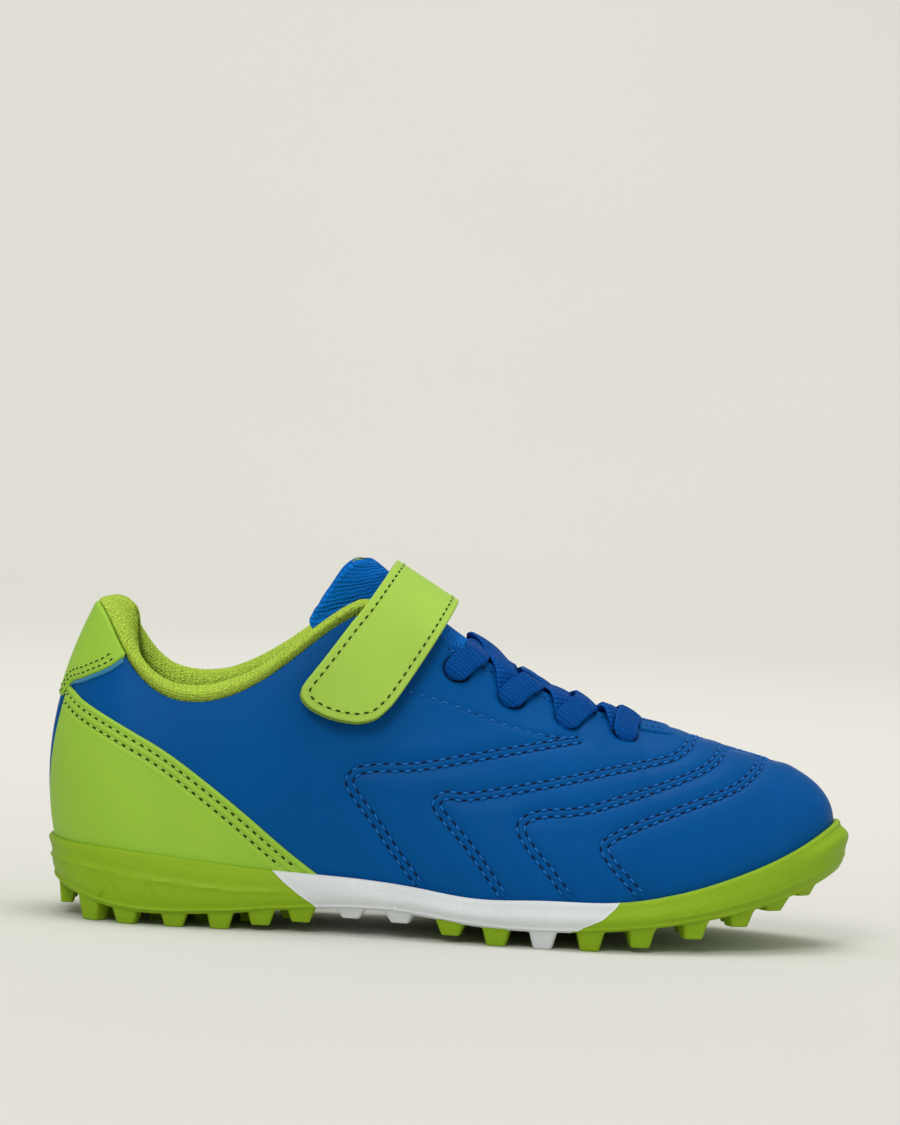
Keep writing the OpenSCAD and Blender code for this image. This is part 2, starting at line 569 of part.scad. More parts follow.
module elastic_lace() {
    color("royalblue") sized() {
        for (i = [0:2]) {
            strip(lace_path(1, HOLES[i], HOLES[i][0] + 0.55, 0.2), 1, lace_w);
            strip(lace_path(-1, HOLES[i], HOLES[i][0] + 0.55, 2.4), -1, lace_w);
        }
        strip(lace_path(1, HOLES[3], HOLES[3][0] + 0.2, 0.6), 1, lace_w);
    }
}

// ---- The strap: one band bent over the tongue, extruded across its width ----
// Its inner face as y and height q, from the stitched inner side to the outer side's tip
STRAP_LINE = [
    [25.6, 98], [22.4, 108.5], [18.6, 115.8], [13.2, 121.6], [7, 125.2], [0, 126.3], [-7, 125.2],
    [-13.2, 121.6], [-18.9, 115.8], [-22.9, 108.5], [-26.9, 99], [-28.9, 91], [-29.6, 83.6]
];
HINGE_A = 2;
HINGE_B = 9;
STRAP_END = 12;
HINGE_GAP = 0.3;
// Where the band's middle lies along the ridge
STRAP_MID = 35.3;
STRAP_FRAME = [[0, 0.508, 0.861, 0], [1, 0, 0, 0], [0, 0.861, -0.508, 0], [0, 0, 0, 1]];
function strap_at(t) =
    let (n = len(STRAP_LINE) - 1, i = min(floor(t), n - 1), f = t - i, p = STRAP_LINE,
         a = p[max(i - 1, 0)], b = p[i], c = p[i + 1], d = p[min(i + 2, n)])
    0.5 * (2 * b + (c - a) * f + (2 * a - 5 * b + 4 * c - d) * f * f + (3 * b - a - 3 * c + d) * pow(f, 3));
function strap_side(t) =
    let (d = strap_at(min(t + 0.01, STRAP_END)) - strap_at(max(t - 0.01, 0)))
    [-d.y, d.x] * -1 / norm(d);
function strap_point(t, d) = strap_at(t) + d * strap_side(t);
// One layer of the band from t = a to b, between the distances low and high from its inner face
module band(a, b, low, high, wide, middle = STRAP_MID) {
    steps = ceil((b - a) * 4);
    outline = concat([for (t = span(a, b, steps)) strap_point(t, low)],
                     [for (t = span(b, a, steps)) strap_point(t, high)]);
    translate([0, 0, middle - wide / 2]) linear_extrude(wide) polygon(outline);
}
// The free end flares towards the heel and is cut off at a slant: height q and place across the band
TIP_FLARE = 3.5;
TIP_OUTLINE = [[140, 9.85], [140, -9.85], [112, -9.85], [100, -10.7], [90, -12.4], [88.5, -12.7],
               [86.2, -11.7], [84.6, -9.3], [84.6, -4.3], [86.8, 1.7], [89.4, 6], [93.1, 8.3], [98, 9.7],
               [110, 9.85]];
module tip_outline() {
    wide = strap_w / 19.7;
    translate([0, 0, STRAP_MID]) multmatrix([[0, 0, 1, 0], [1, 0, 0, 0], [0, 1, 0, 0], [0, 0, 0, 1]])
        linear_extrude(80, center = true) polygon([for (p = TIP_OUTLINE) [p.x, p.y * wide]]);
}
module tip_band(low, high) {
    intersection() {
        band(HINGE_B + PEEL, STRAP_END, low, high, strap_w + TIP_FLARE, STRAP_MID - TIP_FLARE / 2);
        tip_outline();
    }
}
BACK_LOW = 0;
FACE_LOW = strap_back + 0.15;
FACE_HIGH = FACE_LOW + strap_face;
PEEL = HINGE_GAP / 14;
module strap_frame() {
    sized() multmatrix(STRAP_FRAME) children();
}
module strap_anchor() {
    color("yellowgreen") strap_frame() band(0, HINGE_A - PEEL, FACE_LOW, FACE_HIGH, strap_w);
}
module strap_anchor_backing() {
    color("olivedrab") strap_frame() band(0, HINGE_A - PEEL, BACK_LOW, strap_back, strap_w);
}
module strap_bridge() {
    color("yellowgreen") strap_frame() band(HINGE_A + PEEL, HINGE_B - PEEL, FACE_LOW, FACE_HIGH, strap_w);
}
module strap_bridge_backing() {
    color("olivedrab") strap_frame() band(HINGE_A + PEEL, HINGE_B - PEEL, BACK_LOW, strap_back, strap_w);
}
module strap_tip() {
    color("yellowgreen") strap_frame() tip_band(FACE_LOW, FACE_HIGH);
}
module strap_tip_backing() {
    color("olivedrab") strap_frame() tip_band(BACK_LOW, strap_back);
}
module strap_hook_patch() {
    color("darkgreen") strap_frame() band(HINGE_B + 0.6, STRAP_END - 0.5, -0.8, -GLUE, strap_w - 5);
}
module quarter_loop_patch() {
    color("navy") sized() patch(span(5.6, 7, 4), [[0, 0.67]], [[0, 0.85]], 4, GLUE + 0.7, GLUE);
}

outsole_heel();
outsole_shank();
outsole_forefoot();
midsole();
strobel_board();
insole();
upper_shell();
heel_panel_lateral();
heel_panel_medial();
heel_strip();
heel_tab();
heel_piping();
throat_tab();
heel_counter();
toe_puff();
eyestay_stay_lateral();
eyestay_stay_medial();
vamp_lining();
collar_lining();
collar_foam();
tongue_face();
tongue_foam();
tongue_lining();
tongue_tip_face();
tongue_tip_foam();
tongue_tip_lining();
elastic_lace();
quarter_loop_patch();
strap_anchor();
strap_anchor_backing();
strap_bridge();
strap_bridge_backing();
strap_tip();
strap_tip_backing();
strap_hook_patch();
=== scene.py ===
import math

import bmesh
import bpy
import numpy as np
from mathutils import Matrix, Vector
from mathutils.kdtree import KDTree


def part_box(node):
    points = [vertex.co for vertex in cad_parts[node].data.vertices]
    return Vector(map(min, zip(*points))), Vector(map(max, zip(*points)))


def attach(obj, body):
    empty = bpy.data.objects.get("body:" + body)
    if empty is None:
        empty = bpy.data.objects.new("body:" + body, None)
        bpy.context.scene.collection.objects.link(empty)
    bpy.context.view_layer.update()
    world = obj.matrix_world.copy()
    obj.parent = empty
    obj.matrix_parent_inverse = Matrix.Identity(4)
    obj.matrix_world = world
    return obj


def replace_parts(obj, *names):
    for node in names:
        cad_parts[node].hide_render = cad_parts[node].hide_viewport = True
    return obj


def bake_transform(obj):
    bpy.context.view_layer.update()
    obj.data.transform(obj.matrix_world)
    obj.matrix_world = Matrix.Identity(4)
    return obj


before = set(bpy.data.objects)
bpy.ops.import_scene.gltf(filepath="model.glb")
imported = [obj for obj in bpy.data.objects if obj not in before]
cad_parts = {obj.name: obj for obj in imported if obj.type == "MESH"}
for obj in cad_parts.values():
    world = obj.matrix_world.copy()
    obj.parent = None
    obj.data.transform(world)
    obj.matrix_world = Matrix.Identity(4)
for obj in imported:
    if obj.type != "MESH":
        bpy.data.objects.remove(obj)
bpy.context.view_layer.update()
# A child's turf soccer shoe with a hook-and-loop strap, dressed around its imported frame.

MM = 0.001
UP = np.array([0.0, 0.0, 1.0])

# ==== The skin of the shoe, in millimetres: +X to the toe, -Y to the outer side of the foot, +Z up.
# It is a closed loop of ribs, smooth along u (0 heel, 15 toe) and v (0 at the sole, 1 at the top).
# bottom x, y, z, top x, y, z, bottom handle out, up, top handle out, down, sole top z, sole bottom z
HEEL_RIB = [2.5, 0, 15, 8.5, 0, 82, 7.4, 20, 11.5, 24, 22.3, 11.5]
LATERAL_RIBS = [
    [6.5, -14.5, 14.5, 12, -9.5, 78.5, 6.5, 19, 10, 23, 21.4, 9],
    [18.5, -23.5, 13.5, 17.5, -16.5, 69, 5, 16, 9, 20, 20.4, 4.6],
    [35, -26, 12.5, 28, -22, 59.5, 4, 13, 5.5, 17, 18.7, 4.1],
    [53, -25.5, 12, 44, -24.5, 59.8, 4, 13, 5, 17, 16.9, 5.3],
    [70, -25.5, 11.5, 60, -24, 69.5, 4, 14, 6, 19, 16, 6.6],
    [85, -27, 11.5, 75, -20, 82, 4, 14, 8, 22, 15.3, 7.4],
    [99, -29.7, 11, 88, -16.5, 84, 4, 15, 10, 22, 13.8, 6.5],
    [114, -32.7, 9.5, 102, -14, 77.5, 4, 16, 12, 17, 11.9, 4.7],
    [130, -35, 9.5, 119, -11.5, 69.5, 4, 16, 14, 12, 12.9, 4.5],
    [146, -35.3, 10, 137, -8.5, 61.6, 4, 16, 16, 8, 12.8, 5.2],
    [162, -33, 12, 153, 0, 58.8, 4, 15, 17, 4, 15, 7],
    [178, -28, 15.5, 166, 0, 55.8, 4.5, 14, 17, 0, 20.5, 10.5],
    [192, -20.5, 20, 178, 0, 52.5, 5, 12, 16, 0, 27, 15],
    [202, -11, 24.5, 187, 0, 50.3, 5, 10, 15, 0, 34, 20.5],
]
TOE_RIB = [205.5, 0, 27, 190, 0, 49.5, 5, 9, 15, 0, 37.8, 24]
MEDIAL_RIBS = [
    [202, 11.5, 24.5, 187, 0, 50.3, 5, 10, 15, 0, 34, 20.5],
    [192, 22, 20, 178, 0, 52.5, 5, 12, 16, 0, 27, 15],
    [178, 30.5, 15.5, 166, 0, 55.8, 4.5, 14, 17, 0, 20.5, 10.5],
    [162, 36, 12, 153, 0, 58.8, 4, 15, 17, 4, 15, 7],
    [146, 37.5, 10, 137, 8.5, 61.6, 4, 16, 16, 8, 12.8, 5.2],
    [130, 35, 9.5, 119, 11.5, 69.5, 4, 16, 14, 12, 12.9, 4.5],
    [114, 31, 9.5, 102, 14, 77.5, 3.5, 16, 12, 17, 11.9, 4.7],
    [99, 26.5, 11, 88, 16.5, 84.5, 3.5, 15, 10, 22, 13.8, 6.5],
    [85, 23, 11.5, 75, 20, 83, 3.5, 14, 8, 22, 15.3, 7.4],
    [70, 22.5, 11.5, 60, 23.5, 71, 3.5, 14, 6, 19, 16, 6.6],
    [53, 24, 12, 44, 24, 62, 3.5, 13, 5, 17, 16.9, 5.3],
    [35, 25.5, 12.5, 28, 22, 61.5, 4, 13, 5.5, 17, 18.7, 4.1],
    [18.5, 23.5, 13.5, 17.5, 16.5, 70.5, 5, 16, 9, 20, 20.4, 4.6],
    [6.5, 14.5, 14.5, 12, 9.5, 79, 6.5, 19, 10, 23, 21.4, 9],
]
RIBS = np.array([HEEL_RIB] + LATERAL_RIBS + [TOE_RIB] + MEDIAL_RIBS, float)
LOOP = len(RIBS)
TOE = LOOP // 2
THROAT = 11
RIDGE_SLOPE = 0.26
RIDGE_UP = np.array([0.508, 0, 0.861])
BEND, BEND_FROM, BEND_LENGTH = 4.5, 70, 140
CONTROLS = (8 * RIBS - np.roll(RIBS, 1, 0) - np.roll(RIBS, -1, 0)) / 6
LEATHER = 1.5
KNIT = 0.8
LINING = 0.8
PANEL = 1.0
TONGUE_RIB = 1.1
SOLE_LINE = [0.1, 0.11, 0.13, 0.14, 0.12, 0.1, 0.08, 0.06, 0.05, 0.06, 0.06, 0.065, 0.1, 0.15, 0.23, 0.28]


def unit(a):
    return a / np.maximum(np.linalg.norm(a, axis=-1, keepdims=True), 1e-9)


def ease(x, start, end):
    """0 before the start, 1 after the end, smooth in between."""
    t = np.clip((x - start) / (end - start), 0, 1)
    return t * t * (3 - 2 * t)


def ridge(away, height, width):
    """A soft ridge, or a groove where height is below 0, along the line that away is measured from."""
    return height * np.exp(-(away / width) ** 2)


def from_heel(u):
    return np.minimum(u % LOOP, LOOP - u % LOOP)


def rib(u):
    u = np.asarray(u, float) % LOOP
    i = np.floor(u).astype(int)
    f = (u - i)[..., None]
    a, b, c, d = (CONTROLS[(i + k) % LOOP] for k in (-1, 0, 1, 2))
    return ((1 - f) ** 3 * a + (3 * f**3 - 6 * f * f + 4) * b
            + (-3 * f**3 + 3 * f * f + 3 * f + 1) * c + f**3 * d) / 6


def bend(p):
    """The whole shoe bends towards the big toe."""
    moved = p.copy()
    moved[..., 1] += BEND * np.clip((p[..., 0] - BEND_FROM) / BEND_LENGTH, 0, 1.2) ** 2
    return moved


def outward(u):
    d = rib(np.asarray(u, float) + 0.02) - rib(np.asarray(u, float) - 0.02)
    return unit(np.stack([d[..., 1], -d[..., 0], 0 * d[..., 0]], -1))


def side_curve(u):
    """The four control points of the side's curve at u, from the sole up."""
    u = np.asarray(u, float)
    r, n, t = rib(u), outward(u), from_heel(u)
    foot, top = r[..., 0:3], r[..., 3:6].copy()
    near_side = np.where(u % LOOP <= TOE, np.minimum(top[..., 1], 0), np.maximum(top[..., 1], 0))
    top[..., 1] = near_side * (1 - ease(t, THROAT - 0.25, THROAT))
    flat = ease(t, THROAT - 0.5, THROAT + 0.5)
    drop = r[..., 9] + flat * RIDGE_SLOPE * n[..., 0] * r[..., 8]
    low_handle = foot + n * r[..., 6:7] + UP * r[..., 7:8]
    high_handle = top + n * r[..., 8:9] - UP * drop[..., None]
    return [bend(p) for p in (foot, low_handle, high_handle, top)]


def skin(u, v):
    u, v = np.broadcast_arrays(np.asarray(u, float), np.asarray(v, float))
    a, b, c, d = side_curve(u)
    v = v[..., None]
    return (1 - v) ** 3 * a + 3 * (1 - v) ** 2 * v * b + 3 * (1 - v) * v * v * c + v**3 * d


def skin_normal(u, v):
    u, v = np.broadcast_arrays(np.asarray(u, float), np.asarray(v, float))
    below_top = np.minimum(v, 0.985)
    along = skin(u + 0.04, below_top) - skin(u - 0.04, below_top)
    upward = skin(u, np.minimum(v + 0.02, 1)) - skin(u, np.maximum(v - 0.02, 0))
    n = unit(np.cross(along, upward))
    on_ridge = (v > 0.999) & (from_heel(u) >= THROAT)
    n[on_ridge] = unit(np.array([RIDGE_SLOPE, 0, 1]))
    return n


def on_skin(u, v, lift=0.0):
    return skin(u, v) + skin_normal(u, v) * np.asarray(lift, float)[..., None]


def by_rib(u, values):
    """A value between those of the ribs, which are given from the heel to the toe."""
    return np.interp(from_heel(np.asarray(u, float)), np.arange(TOE + 1), values)


def sole_line(u):
    """The value v at which the upper leaves the cup of the sole."""
    return by_rib(u, SOLE_LINE)


def fit_to_frame():
    """Scale and shift that put the skin where the frame's upper is."""
    low, high = (np.array(corner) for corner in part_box("upper_shell"))
    stations = np.meshgrid(np.arange(0, LOOP, 0.5), np.linspace(0, 1, 13), indexing="ij")
    points = skin(*stations).reshape(-1, 3)
    scale = (high[0] - low[0]) / np.ptp(points[:, 0])
    return scale, low - points.min(0) * scale


SCALE, SHIFT = fit_to_frame()


def placed(points):
    return np.asarray(points, float) * SCALE + SHIFT


# ==== Lines and surfaces
def spline(points, t):
    """The smooth curve through the points: t is 0 at the first and counts one for each."""
    points = np.asarray(points, float)
    last = len(points) - 1
    t = np.clip(np.asarray(t, float), 0, last)
    i = np.minimum(np.floor(t).astype(int), last - 1)
    f = (t - i).reshape(t.shape + (1,) * (points.ndim - 1))
    a, b, c, d = (points[np.clip(i + k, 0, last)] for k in (-1, 0, 1, 2))
    return 0.5 * (2 * b + (c - a) * f + (2 * a - 5 * b + 4 * c - d) * f * f
                  + (3 * b - a - 3 * c + d) * f**3)


def length_along(line):
    gaps = np.linalg.norm(np.diff(line, axis=0), axis=-1)
    return np.concatenate([np.zeros((1,) + gaps.shape[1:]), np.cumsum(gaps, axis=0)])


def even(line, step):
    """The same line with its points at even steps."""
    run = length_along(line)
    at = np.linspace(0, run[-1], max(2, round(run[-1] / step) + 1))
    return np.stack([np.interp(at, run, line[:, k]) for k in range(line.shape[1])], 1)


def smooth_line(points, step):
    dense = spline(points, np.linspace(0, len(points) - 1, 24 * len(points)))
    return even(dense, step)


def tree_of(points):
    tree = KDTree(len(points))
    for i, p in enumerate(points):
        tree.insert(p, i)
    tree.balance()
    return tree


def distance(points, tree):
    flat = np.array([tree.find(p)[2] for p in points.reshape(-1, 3)])
    return flat.reshape(points.shape[:-1])


GUIDE_U, GUIDE_V = np.meshgrid(np.arange(0, LOOP, 0.1), np.linspace(0, 1, 61), indexing="ij")
GUIDE = skin(GUIDE_U, GUIDE_V)
SIDE_VIEW = np.array([1.0, 0.0, 1.0])
LATERAL = GUIDE_U <= TOE
GUIDES = {
    "all": (tree_of(GUIDE.reshape(-1, 3)), GUIDE_U.ravel(), GUIDE_V.ravel(), np.ones(3)),
    "side": (tree_of(GUIDE[LATERAL] * SIDE_VIEW), GUIDE_U[LATERAL], GUIDE_V[LATERAL], SIDE_VIEW),
}


def settle(points, seen="all"):
    """u and v of the skin's point nearest to each point, or nearest as seen from the outer side."""
    tree, us, vs, keep = GUIDES[seen]
    points = points * keep
    near = [tree.find(p)[1] for p in points]
    u, v = us[near].copy(), vs[near].copy()
    h = 0.01
    for _ in range(6):
        gap = points - skin(u, v) * keep
        du = (skin(u + h, v) - skin(u - h, v)) * keep / (2 * h)
        v0, v1 = np.maximum(v - h, 0), np.minimum(v + h, 1)
        dv = (skin(u, v1) - skin(u, v0)) * keep / (v1 - v0)[:, None]
        aa, bb, ab = (du * du).sum(1) + 0.1, (dv * dv).sum(1) + 0.1, (du * dv).sum(1)
        ra, rb = (du * gap).sum(1), (dv * gap).sum(1)
        det = aa * bb - ab * ab
        u = u + np.clip((ra * bb - rb * ab) / det, -0.3, 0.3)
        v = np.clip(v + np.clip((rb * aa - ra * ab) / det, -0.05, 0.05), 0, 1)
    return u, v


def side_line(points, step=0.5):
    """u and v of a smooth line on the outer side, given by its x and z in side view."""
    line = smooth_line([(x, 0, z) for x, z in points], step)
    return settle(line, "side")


def mirrored(uv):
    return LOOP - uv[0], uv[1]


def row(uv, aside=0.0):
    """A line on the skin, moved aside within it: its points and normals."""
    base, normal = skin(*uv), skin_normal(*uv)
    if aside:
        side = unit(np.cross(normal, np.gradient(base, axis=0)))
        uv = settle(base + side * aside)
        base, normal = skin(*uv), skin_normal(*uv)
    return base, normal


def grid_normals(p):
    return unit(np.cross(np.gradient(p, axis=0), np.gradient(p, axis=1)))


def tightened(count, length, edge):
    """Places from 0 to 1, closer together near both ends to draw a rounded edge."""
    ends = np.array([0, 0.04, 0.14, 0.3, 0.5, 0.75]) * min(edge / length, 0.2)
    middle = np.linspace(min(edge / length, 0.2), 1 - min(edge / length, 0.2), count)
    return np.concatenate([ends, middle, 1 - ends[::-1]])


# ==== Meshes
def grid_faces(rows, cols, wrap=False, flip=False):
    last = rows if wrap else rows - 1
    i, j = np.meshgrid(np.arange(last), np.arange(cols - 1), indexing="ij")
    a, b = i * cols + j, (i + 1) % rows * cols + j
    order = (a, a + 1, b + 1, b) if flip else (a, b, b + 1, a + 1)
    return np.stack(order, -1).reshape(-1, 4).tolist()


def cloth_of(p):
    """Where each point of a grid lies on its cloth, in millimetres along and across."""
    along = length_along(p)
    along = np.broadcast_to(along.mean(1)[:, None], along.shape)
    across = length_along(np.swapaxes(p, 0, 1)).T
    across = across - across[:, across.shape[1] // 2][:, None]
    return np.stack([along, across, 0 * across], -1)


class Mesh:
    """Grids and other faces gathered into one mesh."""

    def __init__(self):
        self.points, self.faces, self.cloth = [], [], []
        self.size = 0

    def add(self, points, faces, cloth=None):
        points = np.asarray(points, float).reshape(-1, 3)
        self.faces += [[self.size + i for i in face] for face in faces]
        self.points.append(points)
        self.cloth.append(points if cloth is None else cloth.reshape(-1, 3))
        self.size += len(points)

    def grid(self, p, wrap=False, flip=False, cloth=None):
        rows, cols = p.shape[:2]
        self.add(p, grid_faces(rows, cols, wrap, flip), cloth_of(p) if cloth is None else cloth)

    def make(self, name, material, slot, weld=0.002, sharp=None):
        mesh = bpy.data.meshes.new(name)
        points = np.concatenate(self.points)
        mesh.from_pydata(placed(points).tolist(), [], self.faces)
        for key, values in (("cloth", np.concatenate(self.cloth)), ("rest", points)):
            attribute = mesh.attributes.new(key, "FLOAT_VECTOR", "POINT")
            attribute.data.foreach_set("vector", values.astype(np.float32).ravel())
        if weld:
            work = bmesh.new()
            work.from_mesh(mesh)
            bmesh.ops.remove_doubles(work, verts=work.verts, dist=weld * MM)
            bmesh.ops.dissolve_degenerate(work, dist=weld * MM / 4, edges=work.edges)
            work.to_mesh(mesh)
            work.free()
        mesh.polygons.foreach_set("use_smooth", [True] * len(mesh.polygons))
        if sharp:
            mesh.set_sharp_from_angle(angle=math.radians(sharp))
        mesh.materials.append(material)
        piece = bpy.data.objects.new(name, mesh)
        bpy.context.scene.collection.objects.link(piece)
        return piece


ALL_SIDES = ("start", "end", "left", "right")


def border(p, sides):
    """The points along the given sides of a grid: start and end rows, left and right columns."""
    lines = {"start": p[0], "end": p[-1], "left": p[:, 0], "right": p[:, -1]}
    return np.concatenate([even(lines[s], 0.15) for s in sides])


def rounding(p, sides, radius):
    """1 inside the sheet and 0 on its rim, along a quarter circle."""
    near = np.clip(distance(p, tree_of(border(p, sides))) / radius, 0, 1)
    return np.sqrt(np.maximum(1 - (1 - near) ** 2, 0))


def slab(mesh, p, half, radius, sides=ALL_SIDES):
    """A closed sheet around the middle surface p, with round edges on the named sides."""
    lift = grid_normals(p) * (half * rounding(p, sides, radius))[..., None]
    cloth = cloth_of(p)
    mesh.grid(p + lift, cloth=cloth)
    mesh.grid(p - lift, flip=True, cloth=cloth)


def ring_faces(rows, sides):
    """The faces between closed rings of points, each ring with the same number of sides."""
    faces = []
    for i in range(rows - 1):
        for k in range(sides):
            a, b = i * sides + k, i * sides + (k + 1) % sides
            faces.append([a, b, b + sides, a + sides])
    return faces


def tube(mesh, centre, across, up, radii, sides=6):
    """Round sections along centre, with a radius for each and a cap at both ends."""
    turn = np.linspace(0, 2 * math.pi, sides, endpoint=False)
    ring = across[:, None] * np.cos(turn)[None, :, None] + up[:, None] * np.sin(turn)[None, :, None]
    points = centre[:, None] + ring * np.asarray(radii)[:, None, None]
    first_cap = list(range(sides))[::-1]
    last_cap = [(len(centre) - 1) * sides + k for k in range(sides)]
    mesh.add(points, ring_faces(len(centre), sides) + [first_cap, last_cap])


def stitch(mesh, line, normal, start, length, radius, low, high):
    """One stitch: a short thread that arches out of the surface between two needle holes."""
    run = length_along(line)
    t = np.array([0, 0.18, 0.5, 0.82, 1])
    at = start + length * t
    centre = np.stack([np.interp(at, run, line[:, k]) for k in range(3)], 1)
    up = unit(np.stack([np.interp(at, run, normal[:, k]) for k in range(3)], 1))
    along = unit(np.gradient(centre, axis=0))
    across = np.cross(up, along)
    height = low + (high - low) * np.sin(math.pi * (0.08 + 0.84 * t))
    tube(mesh, centre + up * height[:, None], across, up, radius * np.array([0.5, 0.95, 1, 0.95, 0.5]))


class Seam:
    """Rows of stitches, with a dark needle hole of painted shade between each stitch and the next."""

    def __init__(self):
        self.threads, self.holes = Mesh(), Mesh()

    def sew(self, line, normal, pitch, radius, low, high, gap):
        total = length_along(line)[-1]
        count = int(total / pitch)
        hole_radius, hole_low, hole_high = radius * 1.2, low - 0.02, low + 0.1
        for k in range(count):
            start = (total - count * pitch) / 2 + k * pitch
            stitch(self.threads, line, normal, start + gap / 2, pitch - gap, radius, low, high)
            # Each needle hole is a dark tube of painted shade between two stitches.
            hole_start = start - gap / 2 - 0.1
            stitch(self.holes, line, normal, hole_start, gap + 0.2, hole_radius, hole_low, hole_high)

    def make(self, label, finish, slot):
        """The two pieces of the seam: its thread and its needle holes of painted shade."""
        thread_piece = self.threads.make(f"{label}_stitches", MATERIALS[f"{finish}_thread"], slot, weld=0)
        hole_piece = self.holes.make(f"{label}_needle_hole_shades", MATERIALS[f"{finish}_hole"], slot, weld=0)
        return thread_piece, hole_piece


# ==== Materials
def colour(r, g, b):
    """A display colour, 0 to 255, as the linear colour that a shader takes."""
    values = np.array([r, g, b]) / 255
    linear = np.where(values <= 0.04045, values / 12.92, ((values + 0.055) / 1.055) ** 2.4)
    return (*linear.tolist(), 1.0)


class Value:
    """A number in a material, so that shader maths reads as plain arithmetic."""

    def __init__(self, graph, socket):
        self.graph, self.socket = graph, socket

    def math(self, operation, other=None, swap=False):
        pair = (other, self) if swap else (self, other)
        inputs = {i: x for i, x in enumerate(pair) if x is not None}
        return self.graph.node("Math", {"operation": operation}, inputs)

    def __add__(self, other):
        return self.math("ADD", other)

    def __sub__(self, other):
        return self.math("SUBTRACT", other)

    def __rsub__(self, other):
        return self.math("SUBTRACT", other, swap=True)

    def __mul__(self, other):
        return self.math("MULTIPLY", other)

    def __truediv__(self, other):
        return self.math("DIVIDE", other)

    def __pow__(self, other):
        return self.math("POWER", other)

    __radd__ = __add__
    __rmul__ = __mul__

    def sine(self):
        return self.math("SINE")

    def fraction(self):
        return self.math("FRACT")

    def size(self):
        return self.math("ABSOLUTE")

    def above(self, limit):
        return self.math("MAXIMUM", limit)


class Graph:
    """The node tree of one material."""

    def __init__(self, name):
        self.material = bpy.data.materials.new(name)
        self.material.use_nodes = True
        self.tree = self.material.node_tree
        self.shader = self.tree.nodes["Principled BSDF"]

    def feed(self, socket, value):
        if isinstance(value, Value):
            self.tree.links.new(value.socket, socket)
        else:
            socket.default_value = value

    def node(self, kind, settings=None, inputs=None, output=0):
        made = self.tree.nodes.new("ShaderNode" + kind)
        for key, value in (settings or {}).items():
            setattr(made, key, value)
        for key, value in (inputs or {}).items():
            self.feed(made.inputs[key], value)
        return Value(self, made.outputs[output])

    def where(self, key="rest"):
        """The place on the piece at rest, in millimetres: rest in the shoe, cloth on the fabric."""
        return self.node("Attribute", {"attribute_name": key}, output="Vector")

    def parts(self, vector):
        split = self.node("SeparateXYZ", inputs={0: vector}).socket.node
        return [Value(self, split.outputs[i]) for i in range(3)]

    def noise(self, vector, scale, detail=2.0, roughness=0.5, stretch=None):
        if stretch:
            vector = self.node("VectorMath", {"operation": "MULTIPLY"}, {0: vector, 1: stretch})
        inputs = {"Vector": vector, "Scale": scale, "Detail": detail, "Roughness": roughness}
        return self.node("TexNoise", inputs=inputs)

    def cells(self, vector, scale):
        return self.node("TexVoronoi", {"feature": "F1"}, {"Vector": vector, "Scale": scale})

    def mix(self, factor, a, b):
        settings = {"data_type": "RGBA", "clamp_factor": True}
        return self.node("Mix", settings, {0: factor, 6: a, 7: b}, output=2)

    def bump(self, height, millimetres):
        inputs = {"Strength": 1.0, "Distance": millimetres * MM, "Height": height}
        self.feed(self.shader.inputs["Normal"], self.node("Bump", inputs=inputs))

    def set(self, **inputs):
        for key, value in inputs.items():
            self.feed(self.shader.inputs[key.replace("_", " ")], value)

    def tones(self, rgb, tint, dark, light):
        """A colour between a darker and a lighter shade of rgb."""
        return self.mix(tint, shade(rgb, dark), shade(rgb, light))

    def finish(self, base, roughness, height, millimetres, **constants):
        """The finished material: its colour, roughness, relief and the shader's constants."""
        self.set(Base_Color=base, Roughness=roughness, **constants)
        self.bump(height, millimetres)
        return self.material

    def where_in_frame(self):
        """The place on a piece of the frame itself, in millimetres."""
        position = self.node("TexCoord", output="Object")
        return self.node("VectorMath", {"operation": "SCALE"}, {0: position, "Scale": 1 / MM})


HOOK_PITCH = 1.1


def shade(rgb, factor):
    return (*[min(1.0, c * factor) for c in rgb[:3]], 1.0)


def leather(name, rgb, rough, shine=0.16, coat=0.0):
    """Smooth coated leather: fine pebbled grain, a little cloudiness in its colour."""
    g = Graph(name)
    at = g.where()
    pebble = g.cells(at, 1.7)
    fine = g.noise(at, 3.2, 3.0)
    clouds = g.noise(at, 0.035, 2.0)
    tint = (clouds - 0.5) * 0.9 + (fine - 0.5) * 0.35 + 0.5
    roughness = (fine - 0.5) * 0.25 + (clouds - 0.5) * 0.2 + rough
    return g.finish(g.tones(rgb, tint, 0.86, 1.12), roughness, pebble * 0.6 + fine * 0.5, 0.035,
                    Specular_IOR_Level=shine, Coat_Weight=coat, Coat_Roughness=0.4)


